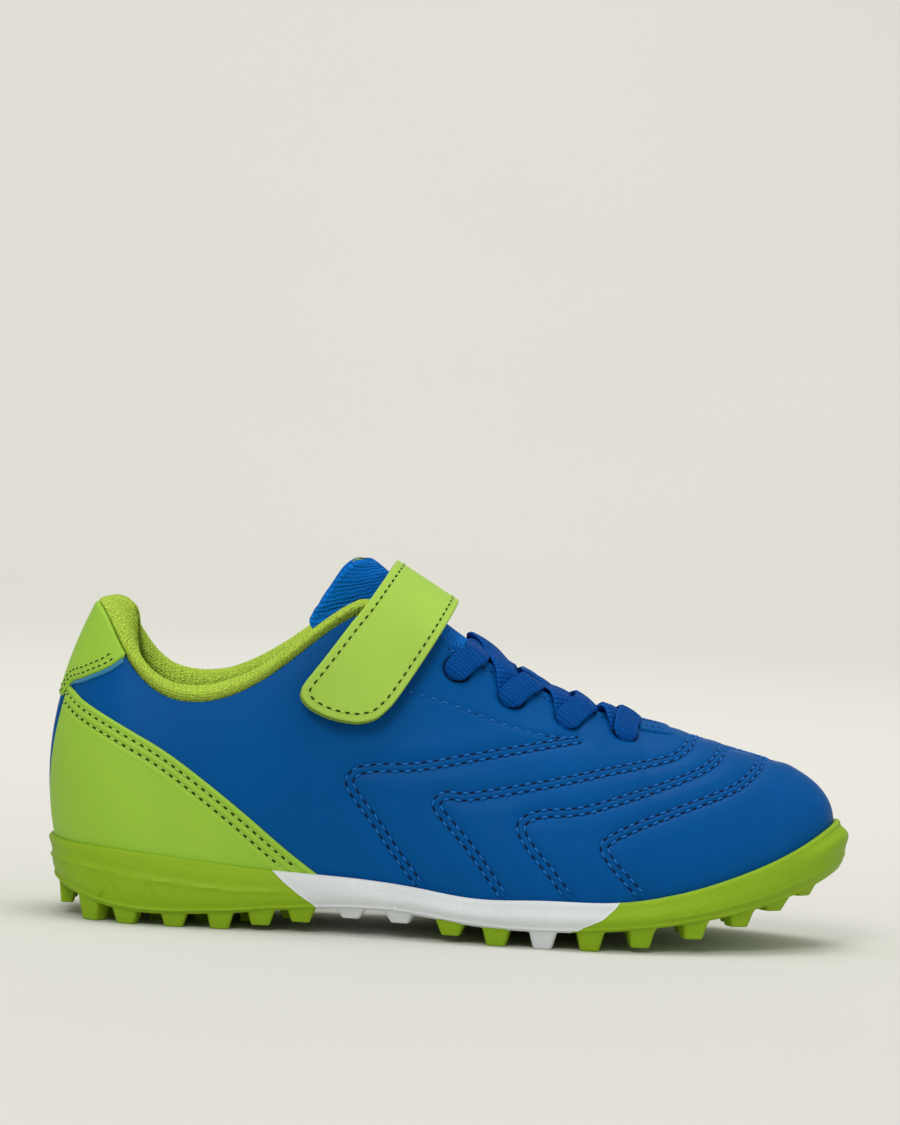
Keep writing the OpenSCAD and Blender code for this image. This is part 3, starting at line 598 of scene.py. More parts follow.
def knit(name, rgb, wide, tall, depth, ribs=0.0, chunky=0.0):
    """Knitted cloth: columns of V-shaped loops, wide and tall in millimetres."""
    g = Graph(name)
    at = g.where("cloth")
    wobble = g.noise(at, 0.9, 2.0)
    along, across, _ = g.parts(at)
    column = (along / wide + (wobble - 0.5) * 0.5).fraction() - 0.5
    loop = (across / tall + column.size() * 1.2 + (wobble - 0.5) * 0.6).fraction()
    height = (loop * math.pi).sine() * (1 - (column.size() * 2) ** 3)
    lumps = g.noise(at, 1.1, 3.0)
    relief = height * (1 - chunky) + lumps * 1.6 * chunky
    if ribs:
        turns = along / ribs + (g.noise(at, 0.35, 2.0) - 0.5) * 1.2
        rib_wave = (turns * (2 * math.pi)).sine() * 0.5 + 0.5
        relief = relief * 0.55 + rib_wave * 0.6
    fuzz = g.noise(at, 7.0, 2.0)
    broad = g.noise(at, 0.05, 2.0)
    # Painted light and shade: the tint follows the relief, so raised loops and ribs are lighter and the gaps
    # darker; fuzz and broad add random tone.
    tint = relief * 0.85 + (fuzz - 0.5) * 0.5 + (broad - 0.5) * 0.4
    return g.finish(g.tones(rgb, tint, 0.62, 1.18), (fuzz - 0.5) * 0.2 + 0.78, relief + fuzz * 0.15, depth,
                    Specular_IOR_Level=0.08)


def braid(name, rgb, pitch):
    """Flat elastic braid: small slanted strands that cross, in lines along the lace."""
    g = Graph(name)
    at = g.where("cloth")
    wobble = g.noise(at, 1.3, 2.0) - 0.5
    along, across, _ = g.parts(at)
    lane = (across / pitch).fraction() - 0.5
    slope = lane.size() * 1.1
    strand = (along / (pitch * 1.5) + slope + wobble * 0.35).fraction()
    height = (strand * math.pi).sine() * (1 - (lane.size() * 2) ** 4)
    fuzz = g.noise(at, 6.0, 2.0)
    # Painted light and shade: the strands' crests are lighter and the gaps between them darker; fuzz adds
    # random tone.
    tint = height * 0.7 + (fuzz - 0.5) * 0.5 + 0.12
    return g.finish(g.tones(rgb, tint, 0.5, 1.2), 0.72 - height * 0.14, height + fuzz * 0.15, 0.3,
                    Specular_IOR_Level=0.06)


def rubber(name, rgb, rough=0.55, grain=1.0):
    """Moulded rubber with the fine leather-like grain of its mould and a painted highlight along its convex
    edges.
    """
    g = Graph(name)
    at = g.where()
    pebble = g.cells(at, 1.15)
    fine = g.noise(at, 1.6, 4.0, 0.6)
    clouds = g.noise(at, 0.06, 2.0)
    tint = (clouds - 0.5) * 0.8 + (fine - 0.5) * 0.8 + 0.5
    # Convex edges are painted lighter: the wear mask is a painted highlight along the sole's edges, not
    # scuffing.
    edge = g.node("NewGeometry", output="Pointiness")
    wear = ((edge - 0.5) * 4).above(0)
    base = g.mix(wear, g.tones(rgb, tint, 0.86, 1.1), shade(rgb, 1.3))
    return g.finish(base, (fine - 0.5) * 0.3 + rough, pebble * 0.45 + fine, 0.14 * grain,
                    Specular_IOR_Level=0.25)


def thread(name, rgb, rough=0.45):
    """Twisted sewing thread."""
    g = Graph(name)
    twist = g.noise(g.where(), 5.0, 2.0)
    roughness = rough + (twist - 0.5) * 0.2
    return g.finish(g.tones(rgb, twist, 0.7, 1.25), roughness, twist, 0.05, Specular_IOR_Level=0.2)


def woven(name, rgb, pitch=0.7, depth=0.08, in_frame=False):
    """Plain-woven lining cloth."""
    g = Graph(name)
    at = g.where_in_frame() if in_frame else g.where("cloth")
    along, across, _ = g.parts(at)
    warp = (along * (math.pi / pitch)).sine()
    weft = (across * (math.pi / pitch)).sine()
    height = warp * weft * 0.5 + 0.5
    fuzz = g.noise(at, 4.0, 2.0)
    # Painted light and shade: the crossings of warp and weft are lighter and the hollows between them darker;
    # fuzz adds random tone.
    base = g.tones(rgb, height * 0.6 + fuzz * 0.4, 0.7, 1.2)
    return g.finish(base, (fuzz - 0.5) * 0.2 + 0.82, height + fuzz * 0.3, depth,
                    Sheen_Weight=0.2, Specular_IOR_Level=0.2)


def hooks(name, rgb):
    """The stiff hooks of a hook tape."""
    g = Graph(name)
    dots = g.cells(g.where("cloth"), 1 / HOOK_PITCH)
    # Painted light and shade: the tops of the hooks are lighter and the tape between them darker.
    tint = 1 - dots * 1.4
    return g.finish(g.tones(rgb, tint, 0.5, 1.3), 0.5 + dots * 0.3, tint, 0.5)


def pile(name, rgb):
    """The brushed loops of a loop tape."""
    g = Graph(name)
    curls = g.noise(g.where("cloth"), 1.8, 4.0, 0.7)
    roughness = 0.8 + (curls - 0.5) * 0.3
    return g.finish(g.tones(rgb, curls, 0.55, 1.3), roughness, curls, 0.1, Specular_IOR_Level=0.1)


def foam(name, rgb, cell):
    """Open-celled foam or pressed board, for the layers inside."""
    g = Graph(name)
    pores = g.cells(g.where_in_frame(), 1 / cell)
    # Painted shade: each pore is darker towards its hollow middle.
    return g.finish(g.tones(rgb, pores, 0.75, 1.15), 0.85 + (pores - 0.5) * 0.1, pores, 0.2)


BLUE = colour(0, 77, 140)
HEEL_GREEN = colour(147, 190, 58)
STRAP_GREEN = colour(160, 196, 74)
COLLAR_GREEN = colour(206, 246, 84)
SOLE_GREEN = colour(134, 170, 16)
SOLE_WHITE = colour(210, 214, 213)
KNIT_BLUE = colour(8, 122, 222)
PAPER_SHADE, PAPER_LIGHT = colour(210, 209, 201), colour(214, 212, 203)

MATERIALS = {
    "upper": leather("blue_leather", BLUE, rough=0.44, shine=0.05),
    "heel": leather("lime_leather", HEEL_GREEN, rough=0.52),
    "strap": leather("strap_leather", STRAP_GREEN, rough=0.55),
    "backing": woven("strap_backing_cloth", colour(120, 152, 50)),
    "collar": knit("collar_knit_cloth", COLLAR_GREEN, 1.2, 0.9, 1.5, chunky=0.7),
    "tongue": knit("tongue_knit_cloth", KNIT_BLUE, 0.9, 0.75, 0.45, ribs=TONGUE_RIB),
    "lace": braid("elastic_braid", colour(0, 84, 166), 0.7),
    "sole_green": rubber("lime_rubber", SOLE_GREEN),
    "sole_white": rubber("white_rubber", SOLE_WHITE, rough=0.6, grain=0.5),
    "piping": leather("teal_piping", colour(44, 122, 164), rough=0.35, coat=0.3),
    "blue_thread": thread("blue_thread", colour(12, 98, 172)),
    # The hole finishes are near-black blue and green: painted shade for the needle holes and the lace holes.
    "blue_hole": thread("blue_needle_hole_shade", colour(3, 26, 58), 0.9),
    "green_thread": thread("green_thread", colour(166, 200, 84)),
    "green_hole": thread("green_needle_hole_shade", colour(38, 58, 8), 0.9),
    "hooks": hooks("hook_tape", colour(70, 96, 34)),
    "loops": pile("loop_tape", colour(8, 58, 124)),
    "insole": woven("insole_cloth", colour(70, 74, 78), 0.9, 0.12, in_frame=True),
    "lining": woven("vamp_lining_cloth", colour(8, 48, 98), in_frame=True),
    "board": foam("pressed_board", colour(92, 90, 84), 0.5),
    "stiffener": foam("stiffener_sheet", colour(150, 150, 150), 0.4),
    "midsole": foam("midsole_foam", colour(200, 202, 204), 0.7),
}


def dress_frame():
    """The frame's own inner layers keep their shape and get their finish."""
    wear = {
        "insole": "insole",
        "vamp_lining": "lining",
        "midsole": "midsole",
        "strobel_board": "board",
        "heel_counter": "stiffener",
        "toe_puff": "stiffener",
        "eyestay_stay_lateral": "stiffener",
        "eyestay_stay_medial": "stiffener",
    }
    for node, finish in wear.items():
        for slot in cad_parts[node].material_slots:
            slot.material = MATERIALS[finish]


# ==== Seam lines on the outer side, as x and z in side view; the inner side mirrors them
QUILT_LINES = [
    [(138, 54), (128, 52.2), (112, 48.9), (96.5, 45.5), (84.5, 44.4), (80, 43.2), (78.2, 41), (79.3, 37.9),
     (85, 30.8), (92, 21.5), (98, 14)],
    [(168.2, 56.4), (167.8, 53.9), (165, 51.2), (160, 49.2), (144, 45.8), (128.5, 42.3), (110, 38.5),
     (103.5, 38.4), (101.2, 36.4), (102.3, 33.8), (110.5, 25), (120, 12.6)],
    [(176.8, 54.6), (176, 51.6), (173.3, 48.8), (168, 45.9), (155, 41), (139.5, 36.3), (128.8, 35),
     (124.2, 33), (123.5, 30.3), (126.5, 25.7), (131.6, 20), (137, 13.4)],
    [(187.4, 52), (187, 50), (184.6, 46.7), (179, 42.7), (166, 37.5), (153, 32.3), (146.5, 28.8),
     (145.5, 26.6), (148, 22.8), (152.2, 18.4), (156.6, 14)],
]
EYESTAY_LINE = [(90.5, 65), (96.7, 63.6), (101, 62.5), (109, 60), (117, 57.4), (125, 55.3), (132, 54.4),
                (136, 54.3)]
ROW_GAP = 1.9
QUILT_PITCH = 3.3
THROAT_PITCH = 2.6
THROAT_ROW_INSET = 2.0
HOLES = [(8.06, 0.848), (8.9, 0.823), (9.72, 0.822), (10.64, 0.796)]
LEANS = [0.38, 0.38, 0.38, 0.2]

QUILTS = [side_line(points) for points in QUILT_LINES]
EYESTAY = side_line(EYESTAY_LINE)
THROAT_ROW_US = np.linspace(8.0, 10.85, 60)


def throat_row(side):
    """The stitches just outside the throat's edge."""
    uv = settle(skin(side * THROAT_ROW_US, 1.0))
    return row(uv, -side * THROAT_ROW_INSET)


def upper_rows():
    """Every row of stitches in the blue leather: quilting in pairs, and the single rows."""
    rows = []
    for uv in QUILTS:
        for line in (uv, mirrored(uv)):
            rows += [row(line, -ROW_GAP / 2), row(line, ROW_GAP / 2)]
    rows += [row(EYESTAY), row(mirrored(EYESTAY))]
    return rows


def hole_centre(i, side):
    """The middle of a lace hole, from the lower end of the loop that comes out of it."""
    u, v = HOLES[i]
    return skin(side * (u + 0.33 * LEANS[i]), v + (1 - v) * 0.33)


def hole_depth(away):
    """The leather dips round a lace hole, which is away millimetres off."""
    return -1.1 * np.exp(-(away / 3.9) ** 4)


def relief(points, rows):
    """How the leather rises and sinks: soft valleys at the quilting, grooves under the stitches."""
    centres = [even(skin(*line), 0.3) for uv in QUILTS for line in (uv, mirrored(uv))]
    hole_places = [hole_centre(i, side) for i in range(len(HOLES)) for side in (1, -1)]
    to_row = distance(points, tree_of(np.concatenate([line for line, _ in rows])))
    to_centre = distance(points, tree_of(np.concatenate(centres)))
    to_hole = distance(points, tree_of(np.array(hole_places)))
    valley = ridge(to_centre, -0.28, 2.8)
    swollen = ridge(to_centre - 5, 0.2, 2.6)
    puff = ridge(to_centre, 0.34, 0.55)
    groove = ridge(to_row, -0.42, 0.55)
    return valley + swollen + puff + groove + hole_depth(to_hole)


def top_edge(u, rise=0.0):
    """The turned leather edge along the topline: over and down behind."""
    turn = np.linspace(0, math.pi, 9)
    half = (LEATHER + rise) / 2
    top = skin(u, 1.0)
    n = skin_normal(u, 0.995)
    lift = unit(top - skin(u, 0.97))
    ring = [top + n * (rise + half * (math.cos(a) - 1)) + lift * half * 0.8 * math.sin(a) for a in turn]
    behind = [on_skin(u, v, np.full(u.shape, -LEATHER)) for v in (0.97, 0.93, 0.88)]
    return np.stack(ring + behind, 1)


def make_upper():
    quilting, throat = upper_rows(), [throat_row(1), throat_row(-1)]
    u = np.linspace(0, LOOP, 840, endpoint=False)[:, None]
    start = sole_line(u) - 0.035
    v = start + (1 - start) * np.linspace(0, 1, 116)[None, :]
    u = np.broadcast_to(u, v.shape)
    flat = skin(u, v)
    mesh = Mesh()
    mesh.grid(flat + skin_normal(u, v) * relief(flat, quilting + throat)[..., None], wrap=True)
    open_top = np.linspace(-THROAT + 0.02, THROAT - 0.02, 520)
    mesh.grid(top_edge(open_top))
    upper = mesh.make("upper_leather", MATERIALS["upper"], "upper_leather", weld=0.01)
    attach(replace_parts(upper, "upper_shell"), "shoe")
    seam = Seam()
    for line, normal in quilting:
        seam.sew(line, normal, QUILT_PITCH, radius=0.32, low=-0.72, high=-0.16, gap=1.5)
    for line, normal in throat:
        seam.sew(line, normal, THROAT_PITCH, radius=0.27, low=-0.6, high=-0.14, gap=1.2)
    for piece in seam.make("upper", "blue", "upper_leather"):
        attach(piece, "shoe")


# ==== Heel panels, heel strip, tab and piping
PANEL_LINE = [(2.6, 60.6), (4.4, 59.4), (8, 56.8), (18.8, 51.3), (29.7, 45.7), (40.7, 38.5), (51.8, 30.3),
              (62.9, 21.5), (73, 14.2)]
PANEL_START, PANEL_FRONT = 0.3, 5.0
PANEL_SEAM_INSETS = (2.0, 4.3)
PANEL_PITCH = 2.5
STRIP_HALF_WIDTH, STRIP_LOW, STRIP_HIGH = 0.34, 0.06, 0.69
TAB = PANEL * 1.1
TAB_END = 1.97
TAB_SEAM_INSETS = (1.3, 3.0)
TAB_PITCH = 1.9
TAB_SIDE = [(0.25, 0.652), (0.42, 0.675), (0.6, 0.725), (1, 0.775), (1.55, 0.88), (TAB_END, 1.0)]
TAB_LINE = [(-u, v) for u, v in TAB_SIDE[::-1]] + [(0, 0.65)] + TAB_SIDE
PIPING = 0.62


def raised(mesh, u, v, height, sides, radius=0.7, flip=False, seams=()):
    """A panel on the skin: its rim turns down into the leather on the named sides."""
    flat = skin(u, v)
    rise = rounding(flat, sides, radius) * (height + 0.12) - 0.12
    if seams:
        away = distance(flat, tree_of(np.concatenate(seams)))
        rise = rise + ridge(away, -0.3, 0.7) + ridge(away - 1.2, 0.12, 0.7)
    mesh.grid(flat + skin_normal(u, v) * rise[..., None], flip=flip)


def panel_grid(edge_u, edge_v):
    """u and v between the sole and the panel's slanting edge, closer together at the edge."""
    foot_u = np.linspace(PANEL_START, PANEL_FRONT, len(edge_u))
    foot_v = sole_line(foot_u) - 0.03
    rim = [0, 0.002, 0.006, 0.012, 0.02, 0.03]
    t = (1 - np.concatenate([rim, np.linspace(0.04, 0.3, 36), np.linspace(0.32, 1, 28)]))[::-1][None, :]
    u = foot_u[:, None] + (edge_u - foot_u)[:, None] * t
    v = foot_v[:, None] + (edge_v - foot_v)[:, None] * t
    return u, v


def make_heel():
    seam = Seam()
    make_heel_panels(seam)
    make_heel_strip()
    tab_edge = smooth_line([(u, v, 0) for u, v in TAB_LINE], 0.03)[:, :2]
    make_heel_tab(seam, *tab_edge.T)
    for piece in seam.make("heel", "green", "heel_leather"):
        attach(piece, "shoe")
    make_piping(*tab_edge.T)


def make_heel_panels(seam):
    edge = side_line(PANEL_LINE, 0.6)
    u, v = panel_grid(*edge)
    for side, name in ((1, "lateral"), (-1, "medial")):
        edge_uv = edge if side > 0 else mirrored(edge)
        rows = [row(edge_uv, -side * inset) for inset in PANEL_SEAM_INSETS]
        lines = [line for line, _ in rows]
        mesh = Mesh()
        raised(mesh, side * u, v, PANEL, ("end", "start", "right"), flip=side < 0, seams=lines)
        panel = mesh.make(f"heel_panel_{name}_leather", MATERIALS["heel"], "heel_leather")
        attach(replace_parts(panel, f"heel_panel_{name}"), "shoe")
        for line, normal in rows:
            above_sole = line[:, 2] > sole_heights(settle(line)[0])[0] + 0.6
            line, normal = line[above_sole], normal[above_sole]
            line = line + normal * (PANEL - 0.22)
            seam.sew(line, normal, PANEL_PITCH, radius=0.26, low=-0.14, high=0.1, gap=1.05)


def make_heel_strip():
    """The blue strip up the back, between the two panels."""
    across = np.linspace(-STRIP_HALF_WIDTH, STRIP_HALF_WIDTH, 30)
    u, v = np.meshgrid(across, np.linspace(STRIP_LOW, STRIP_HIGH, 90), indexing="ij")
    strip = Mesh()
    raised(strip, u, v, PANEL * 0.6, ("start", "end"))
    piece = strip.make("heel_strip_leather", MATERIALS["upper"], "upper_leather")
    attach(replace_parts(piece, "heel_strip"), "shoe")


def make_heel_tab(seam, tab_u, low):
    """The tab over the back of the topline, from its lower edge up and over."""
    t = np.concatenate([[0, 0.01, 0.03, 0.06, 0.1], np.linspace(0.14, 1, 30)])
    v = low[:, None] + (1.0 - low)[:, None] * t[None, :]
    tab = Mesh()
    raised(tab, np.broadcast_to(tab_u[:, None], v.shape), v, TAB, ("left",))
    tab.grid(top_edge(np.linspace(-TAB_END, TAB_END, 120), TAB))
    piece = tab.make("heel_tab_leather", MATERIALS["heel"], "heel_leather")
    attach(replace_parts(piece, "heel_tab"), "shoe")
    for inset in TAB_SEAM_INSETS:
        line, normal = row((tab_u, low), inset)
        below_top = settle(line)[1] < 0.985
        line, normal = line[below_top], normal[below_top]
        seam.sew(line + normal * TAB, normal, TAB_PITCH, radius=0.22, low=-0.12, high=0.06, gap=0.95)


def make_piping(tab_u, low):
    """A thin cord along both sides of the tab's lower edge."""
    piping = Mesh()
    for side in (1, -1):
        chosen = (side * tab_u > 0.5) & (side * tab_u < 1.93)
        line, normal = row((tab_u[chosen], low[chosen]), -0.5)
        line, normal = line[::side], normal[::side]
        across = np.cross(normal, unit(np.gradient(line, axis=0)))
        radii = PIPING * np.clip(np.linspace(0.35, 3, len(line)), 0, 1)
        tube(piping, line + normal * 0.2, across, normal, radii, sides=10)
    piece = piping.make("heel_piping_cord", MATERIALS["piping"], "piping", weld=0)
    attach(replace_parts(piece, "heel_piping"), "shoe")


THROAT_TAB_START, THROAT_TAB_END = 10.98, 11.62
THROAT_TAB_REACH = 0.125
THROAT_TAB_ROWS = (0.03, 0.085)


def make_throat_tab():
    """The small scalloped patch that closes the foot of the throat."""
    along = np.linspace(THROAT_TAB_START, THROAT_TAB_END, 30)
    u, v = np.meshgrid(along, np.linspace(0, 1, 60), indexing="ij")
    across = np.abs(v * 2 - 1)
    scallop = 0.012 * np.sin(across * 22) * (u - THROAT_TAB_START)
    side_u = np.where(v < 0.5, u, -u)
    patch_v = np.minimum(1 - across * THROAT_TAB_REACH + scallop, 1)
    mesh = Mesh()
    flat = skin(side_u, patch_v)
    rise = rounding(flat, ALL_SIDES, 0.5) * 0.75 - 0.1
    mesh.grid(flat + skin_normal(side_u, patch_v) * rise[..., None], flip=True)
    piece = mesh.make("throat_tab_leather", MATERIALS["upper"], "upper_leather")
    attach(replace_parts(piece, "throat_tab"), "shoe")
    seam = Seam()
    seam_us = np.linspace(THROAT_TAB_START + 0.1, THROAT_TAB_END - 0.1, 20)
    for reach in THROAT_TAB_ROWS:
        for side in (1, -1):
            line, normal = skin(side * seam_us, 1 - reach), skin_normal(side * seam_us, 1 - reach)
            seam.sew(line + normal * 0.65, normal, 1.7, radius=0.17, low=-0.1, high=0.08, gap=0.5)
    for piece in seam.make("throat_tab", "blue", "upper_leather"):
        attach(piece, "shoe")


# ==== Collar: a padded knit roll along the topline and the ribbed lining behind it
COLLAR_END = 7.0
COLLAR_ROLL = [(-7, 2.6), (-4, 3.0), (-3, 4.2), (-2.3, 6.2), (-1.6, 6.4), (-1, 4.4), (0, 1.4), (1, 2.8),
               (2, 4.1), (7, 4.1)]
LINING_DEPTH = LEATHER + KNIT + LINING + 0.15
RIB_PITCH = 1.65
COLLAR_RIB = 0.26


def collar_sections(u):
    """Points of the collar's visible side, from behind the leather over the roll and down inside."""
    top, out = side_curve(u)[3], outward(u)
    fullness = np.interp(from_heel(u), [6.2, 6.7, 7], [1, 0.6, 0.12])
    full = fullness[:, None]
    rise = np.interp(u, *zip(*COLLAR_ROLL))[:, None] * full
    behind = [on_skin(u, v, np.full(u.shape, -LEATHER - gap)) for v, gap in ((0.95, 0.4), (1.0, 0.25))]
    roll = [
        top + (0.35 * full - 0.4) * out + UP * (0.45 * rise + 0.6),
        top - (0.9 * full + 0.6) * out + UP * (0.85 * rise + 0.5),
        top - (3.2 * full + 1) * out + UP * (rise + 0.5),
        top - (5.6 * full + 1.6) * out + UP * (0.7 * rise + 0.2),
        top - (6.2 * full + 2.6) * out - UP,
    ]
    padding = [(0.86, 3.8), (0.74, 2.8), (0.6, 1.2), (0.4, 0), (0.2, 0), (0.04, 0)]
    inside = [on_skin(u, v, -LINING_DEPTH - foam_depth * fullness) for v, foam_depth in padding]
    return np.stack(behind + roll + inside, 0)


def make_collar():
    u = np.linspace(-COLLAR_END, COLLAR_END, 780)
    t = np.concatenate([np.linspace(0, 7, 50), np.linspace(7.15, 12, 30)])
    points = np.swapaxes(spline(collar_sections(u), t), 0, 1)
    normals = grid_normals(points)
    run = length_along(points[:, 50])
    ribs = COLLAR_RIB * np.sin(2 * math.pi * run / RIB_PITCH)
    on_inside = np.clip((t - 4.6) / 1.2, 0, 1)
    lift = ribs[:, None] * on_inside[None, :]
    mesh = Mesh()
    mesh.grid(points - normals * lift[..., None])
    collar = mesh.make("collar_knit", MATERIALS["collar"], "collar_knit", weld=0)
    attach(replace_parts(collar, "collar_lining", "collar_foam"), "shoe")


# ==== Tongue
TONGUE_SECTIONS = [(10.6, 4), (10, 5.2), (9.3, 6.6), (8.6, 8), (7.9, 9.3)]
WING_V = np.array([0.76, 0.84, 0.92, 1])
TONGUE_DEPTH = LEATHER + KNIT + LINING + 0.5
FREE_SECTIONS = [(90.3, 90.2, 77, 12.5, 73), (88.4, 91.9, 66, 12.6, 79.5), (86.2, 93.8, 67.2, 12.6, 84.5),
                 (83.6, 96, 70.4, 12.2, 89.8), (81.2, 97.6, 73.4, 11.6, 94.5), (79.6, 98.3, 75.6, 10.6, 97.2)]
TONGUE_THICK = 4.6
TIP_START = 0.87
TIP_CORNER = 0.45
RIB_DROOP = 5.5
PLACE_STEP = 0.004
TONGUE_BEND = [(91.0, 0, 88.1), (87.0, 0, 92.6)]


def bezier(a, b, c, d, t):
    t = np.asarray(t, float)[:, None]
    return (1 - t) ** 3 * a + 3 * (1 - t) ** 2 * t * b + 3 * (1 - t) * t * t * c + t**3 * d


def tongue_section(u, handle):
    """Across the tongue inside the throat: a wing under each side and an arch between them."""
    depth = np.full(len(WING_V), -TONGUE_DEPTH)
    near, far = on_skin(u, WING_V, depth), on_skin(-u, WING_V, depth)
    near_handle = near[-1] + handle * unit(near[-1] - near[-2])
    far_handle = far[-1] + handle * unit(far[-1] - far[-2])
    arch = bezier(near[-1], near_handle, far_handle, far[-1], np.arange(1, 6) / 6)
    return np.concatenate([near, arch, far[::-1]])


def free_section(centre_x, centre_z, edge_x, edge_y, edge_z):
    """Across the tongue above the throat, curved from its middle to its edges."""
    w = np.arange(13) / 6 - 1
    x = centre_x + (edge_x - centre_x) * w * w
    z = centre_z + (edge_z - centre_z) * w * w
    return bend(np.stack([x, edge_y * w, z], 1))


SECTIONS = np.array([tongue_section(*s) for s in TONGUE_SECTIONS] + [free_section(*s) for s in FREE_SECTIONS])


def tongue_points(rows, places):
    """Points of the tongue's face, each row with its own places from edge to edge."""
    lengthwise = spline(SECTIONS, rows * (len(SECTIONS) - 1))
    return np.stack([spline(line, 12 * at) for line, at in zip(lengthwise, places)])


def tongue_surface(rows, cols):
    """The tongue's face, narrowing to its round tip, and the directions into the shoe."""
    past = np.clip((rows - TIP_START) / (1 - TIP_START), 0, 1)
    narrow = 1 - TIP_CORNER * (1 - np.sqrt(1 - past**2))
    places = 0.5 + narrow[:, None] * (cols - 0.5)
    below, above = np.maximum(rows - PLACE_STEP, 0), np.minimum(rows + PLACE_STEP, 1)
    left, right = np.maximum(places - PLACE_STEP, 0), np.minimum(places + PLACE_STEP, 1)
    along = tongue_points(above, places) - tongue_points(below, places)
    across = tongue_points(rows, right) - tongue_points(rows, left)
    inward = unit(np.cross(along, across))
    middle = inward[len(rows) // 2, len(cols) // 2]
    return tongue_points(rows, places), -inward * np.sign(middle[2])


def swell(points, rim):
    """How deep the foam reaches under each point of the face."""
    return KNIT + (TONGUE_THICK - LINING - KNIT) * ease(distance(points, rim), 0, 9)


def make_tongue():
    rows, cols = tightened(250, 90, 2.2), tightened(44, 44, 2.2)
    face, inward = tongue_surface(rows, cols)
    cloth = cloth_of(face)
    run = cloth[:, len(cols) // 2, 0]
    cloth[..., 0] -= RIB_DROOP * (2 * cols - 1) ** 2
    sway = 0.25 * np.sin(cols * 31) + 0.18 * np.sin(cols * 53 + 1)
    waves = np.sin(2 * math.pi * (cloth[..., 0] + sway) / TONGUE_RIB)
    ends = ("end", "left", "right")
    ripple = (0.01 + 0.03 * ease(run, 45, 60)[:, None]) * waves * rounding(face, ends, 5)
    rim = tree_of(border(face, ends))
    outer, inner = Mesh(), Mesh()
    turn = KNIT * (1 - rounding(face, ends, 1.2)) - ripple
    outer.grid(face + inward * turn[..., None], cloth=cloth, flip=True)
    outer.grid(face + inward * swell(face, rim)[..., None], cloth=cloth)
    back, inward = tongue_surface(rows * 0.985, 0.05 + 0.9 * cols)
    proud = rounding(back, ends, 0.8)
    for lift, turned in ((0.45, False), (-0.3, True)):
        depth = swell(back, rim) - 0.1 + lift * proud
        inner.grid(back + inward * depth[..., None], flip=turned)
    knit_piece = outer.make("tongue_knit", MATERIALS["tongue"], "tongue_knit")
    lining_piece = inner.make("tongue_lining_cloth", MATERIALS["collar"], "tongue_knit")
    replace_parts(knit_piece, "tongue_face", "tongue_foam", "tongue_tip_face", "tongue_tip_foam")
    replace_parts(lining_piece, "tongue_lining", "tongue_tip_lining")
    start, end = (placed(p).tolist() for p in TONGUE_BEND)
    for piece in (knit_piece, lining_piece):
        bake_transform(piece)


# ==== Elastic lace
LACE_W = 7.0
LACE_T = 1.2
LACE_STEP = 0.35
LACE_REACH = 0.84
LOW_LACE, HIGH_LACE = 1.0, 2.3
TONGUE_STEP = 0.675


def lace_path(side, hole, far_u, lift, lean=0.38):
    """Out of a hole, up the leather, over the tongue and under the far edge of the throat."""
    u, v = hole
    near = [on_skin(side * (u + lean * up), v + (1 - v) * up, off)
            for up, off in ((0, -0.2), (0.2, 1.0), (0.6, 1.35), (1, 1.5))]
    t = np.array([0.2, 0.5, 0.8])
    stations = (TONGUE_SECTIONS[0][0] - u - lean - (far_u - u - lean) * t) / TONGUE_STEP
    places = 0.5 - side * (0.5 - t) * 0.36
    over = tongue_points(stations / (len(SECTIONS) - 1), places[:, None])[:, 0] + UP * lift
    return np.concatenate([near, over, [on_skin(-side * far_u, 1.0, 1.0)]])


def lace_strip(mesh, line, side, end_tucked):
    """The flat braid along a line, its start rounded, and its end too unless it is tucked away."""
    along = unit(np.gradient(line, axis=0))
    out = unit(line * [0, 0.045, 0] + RIDGE_UP)
    across = side * unit(np.cross(along, out))
    up = side * np.cross(across, along)
    run = length_along(line)
    half = LACE_W / 2
    start = np.sqrt(np.clip(1 - (1 - np.clip(run / half, 0.004, 1)) ** 2, 0, 1))
    fade = (start if end_tucked else np.minimum(start, start[::-1]))[:, None]
    t = np.sin(np.linspace(-1, 1, 25) * math.pi / 2)
    place = half * fade * t
    middle = line[:, None] + across[:, None] * place[..., None]
    thick = np.sqrt(np.clip(1 - t**6, 0, 1)) * LACE_T / 2
    crown = 0.35 * (1 - t * t) + ridge(np.abs(t) - 0.86, 0.16, 0.08)
    top = middle + up[:, None] * ((thick + crown) * fade)[..., None]
    low = middle - up[:, None] * (thick * fade)[..., None]
    cloth = np.stack([np.broadcast_to(run[:, None], place.shape), place, np.zeros(place.shape)], -1)
    mesh.grid(top, cloth=cloth, flip=side < 0)
    mesh.grid(low, cloth=cloth, flip=side > 0)


def make_lace_holes():
    """Dark discs of painted shade over the dent round each loop of the lace, where it sinks into its hole."""
    mesh = Mesh()
    turn, away = np.linspace(0, 2 * math.pi, 49), np.linspace(0.2, 4.0, 9)
    for side in (1, -1):
        for i in range(len(HOLES)):
            centre = hole_centre(i, side)
            uv = settle(centre[None])
            n = skin_normal(*uv)[0]
            along = unit(skin(uv[0] + 0.1, uv[1])[0] - centre)
            across = np.cross(n, along)
            spoke = np.cos(turn)[:, None] * along + np.sin(turn)[:, None] * across
            ring = spoke[:, None] * away[None, :, None]
            us, vs = settle((centre + ring).reshape(-1, 3))
            # Each disc lies just above the dented leather: painted shade round the lace's end.
            points = on_skin(us, vs, np.tile(hole_depth(away) + 0.06, len(turn))).reshape(ring.shape)
            mesh.grid(points, flip=True)
    piece = mesh.make("lace_hole_shade_discs", MATERIALS["blue_hole"], "upper_leather")
    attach(piece, "shoe")


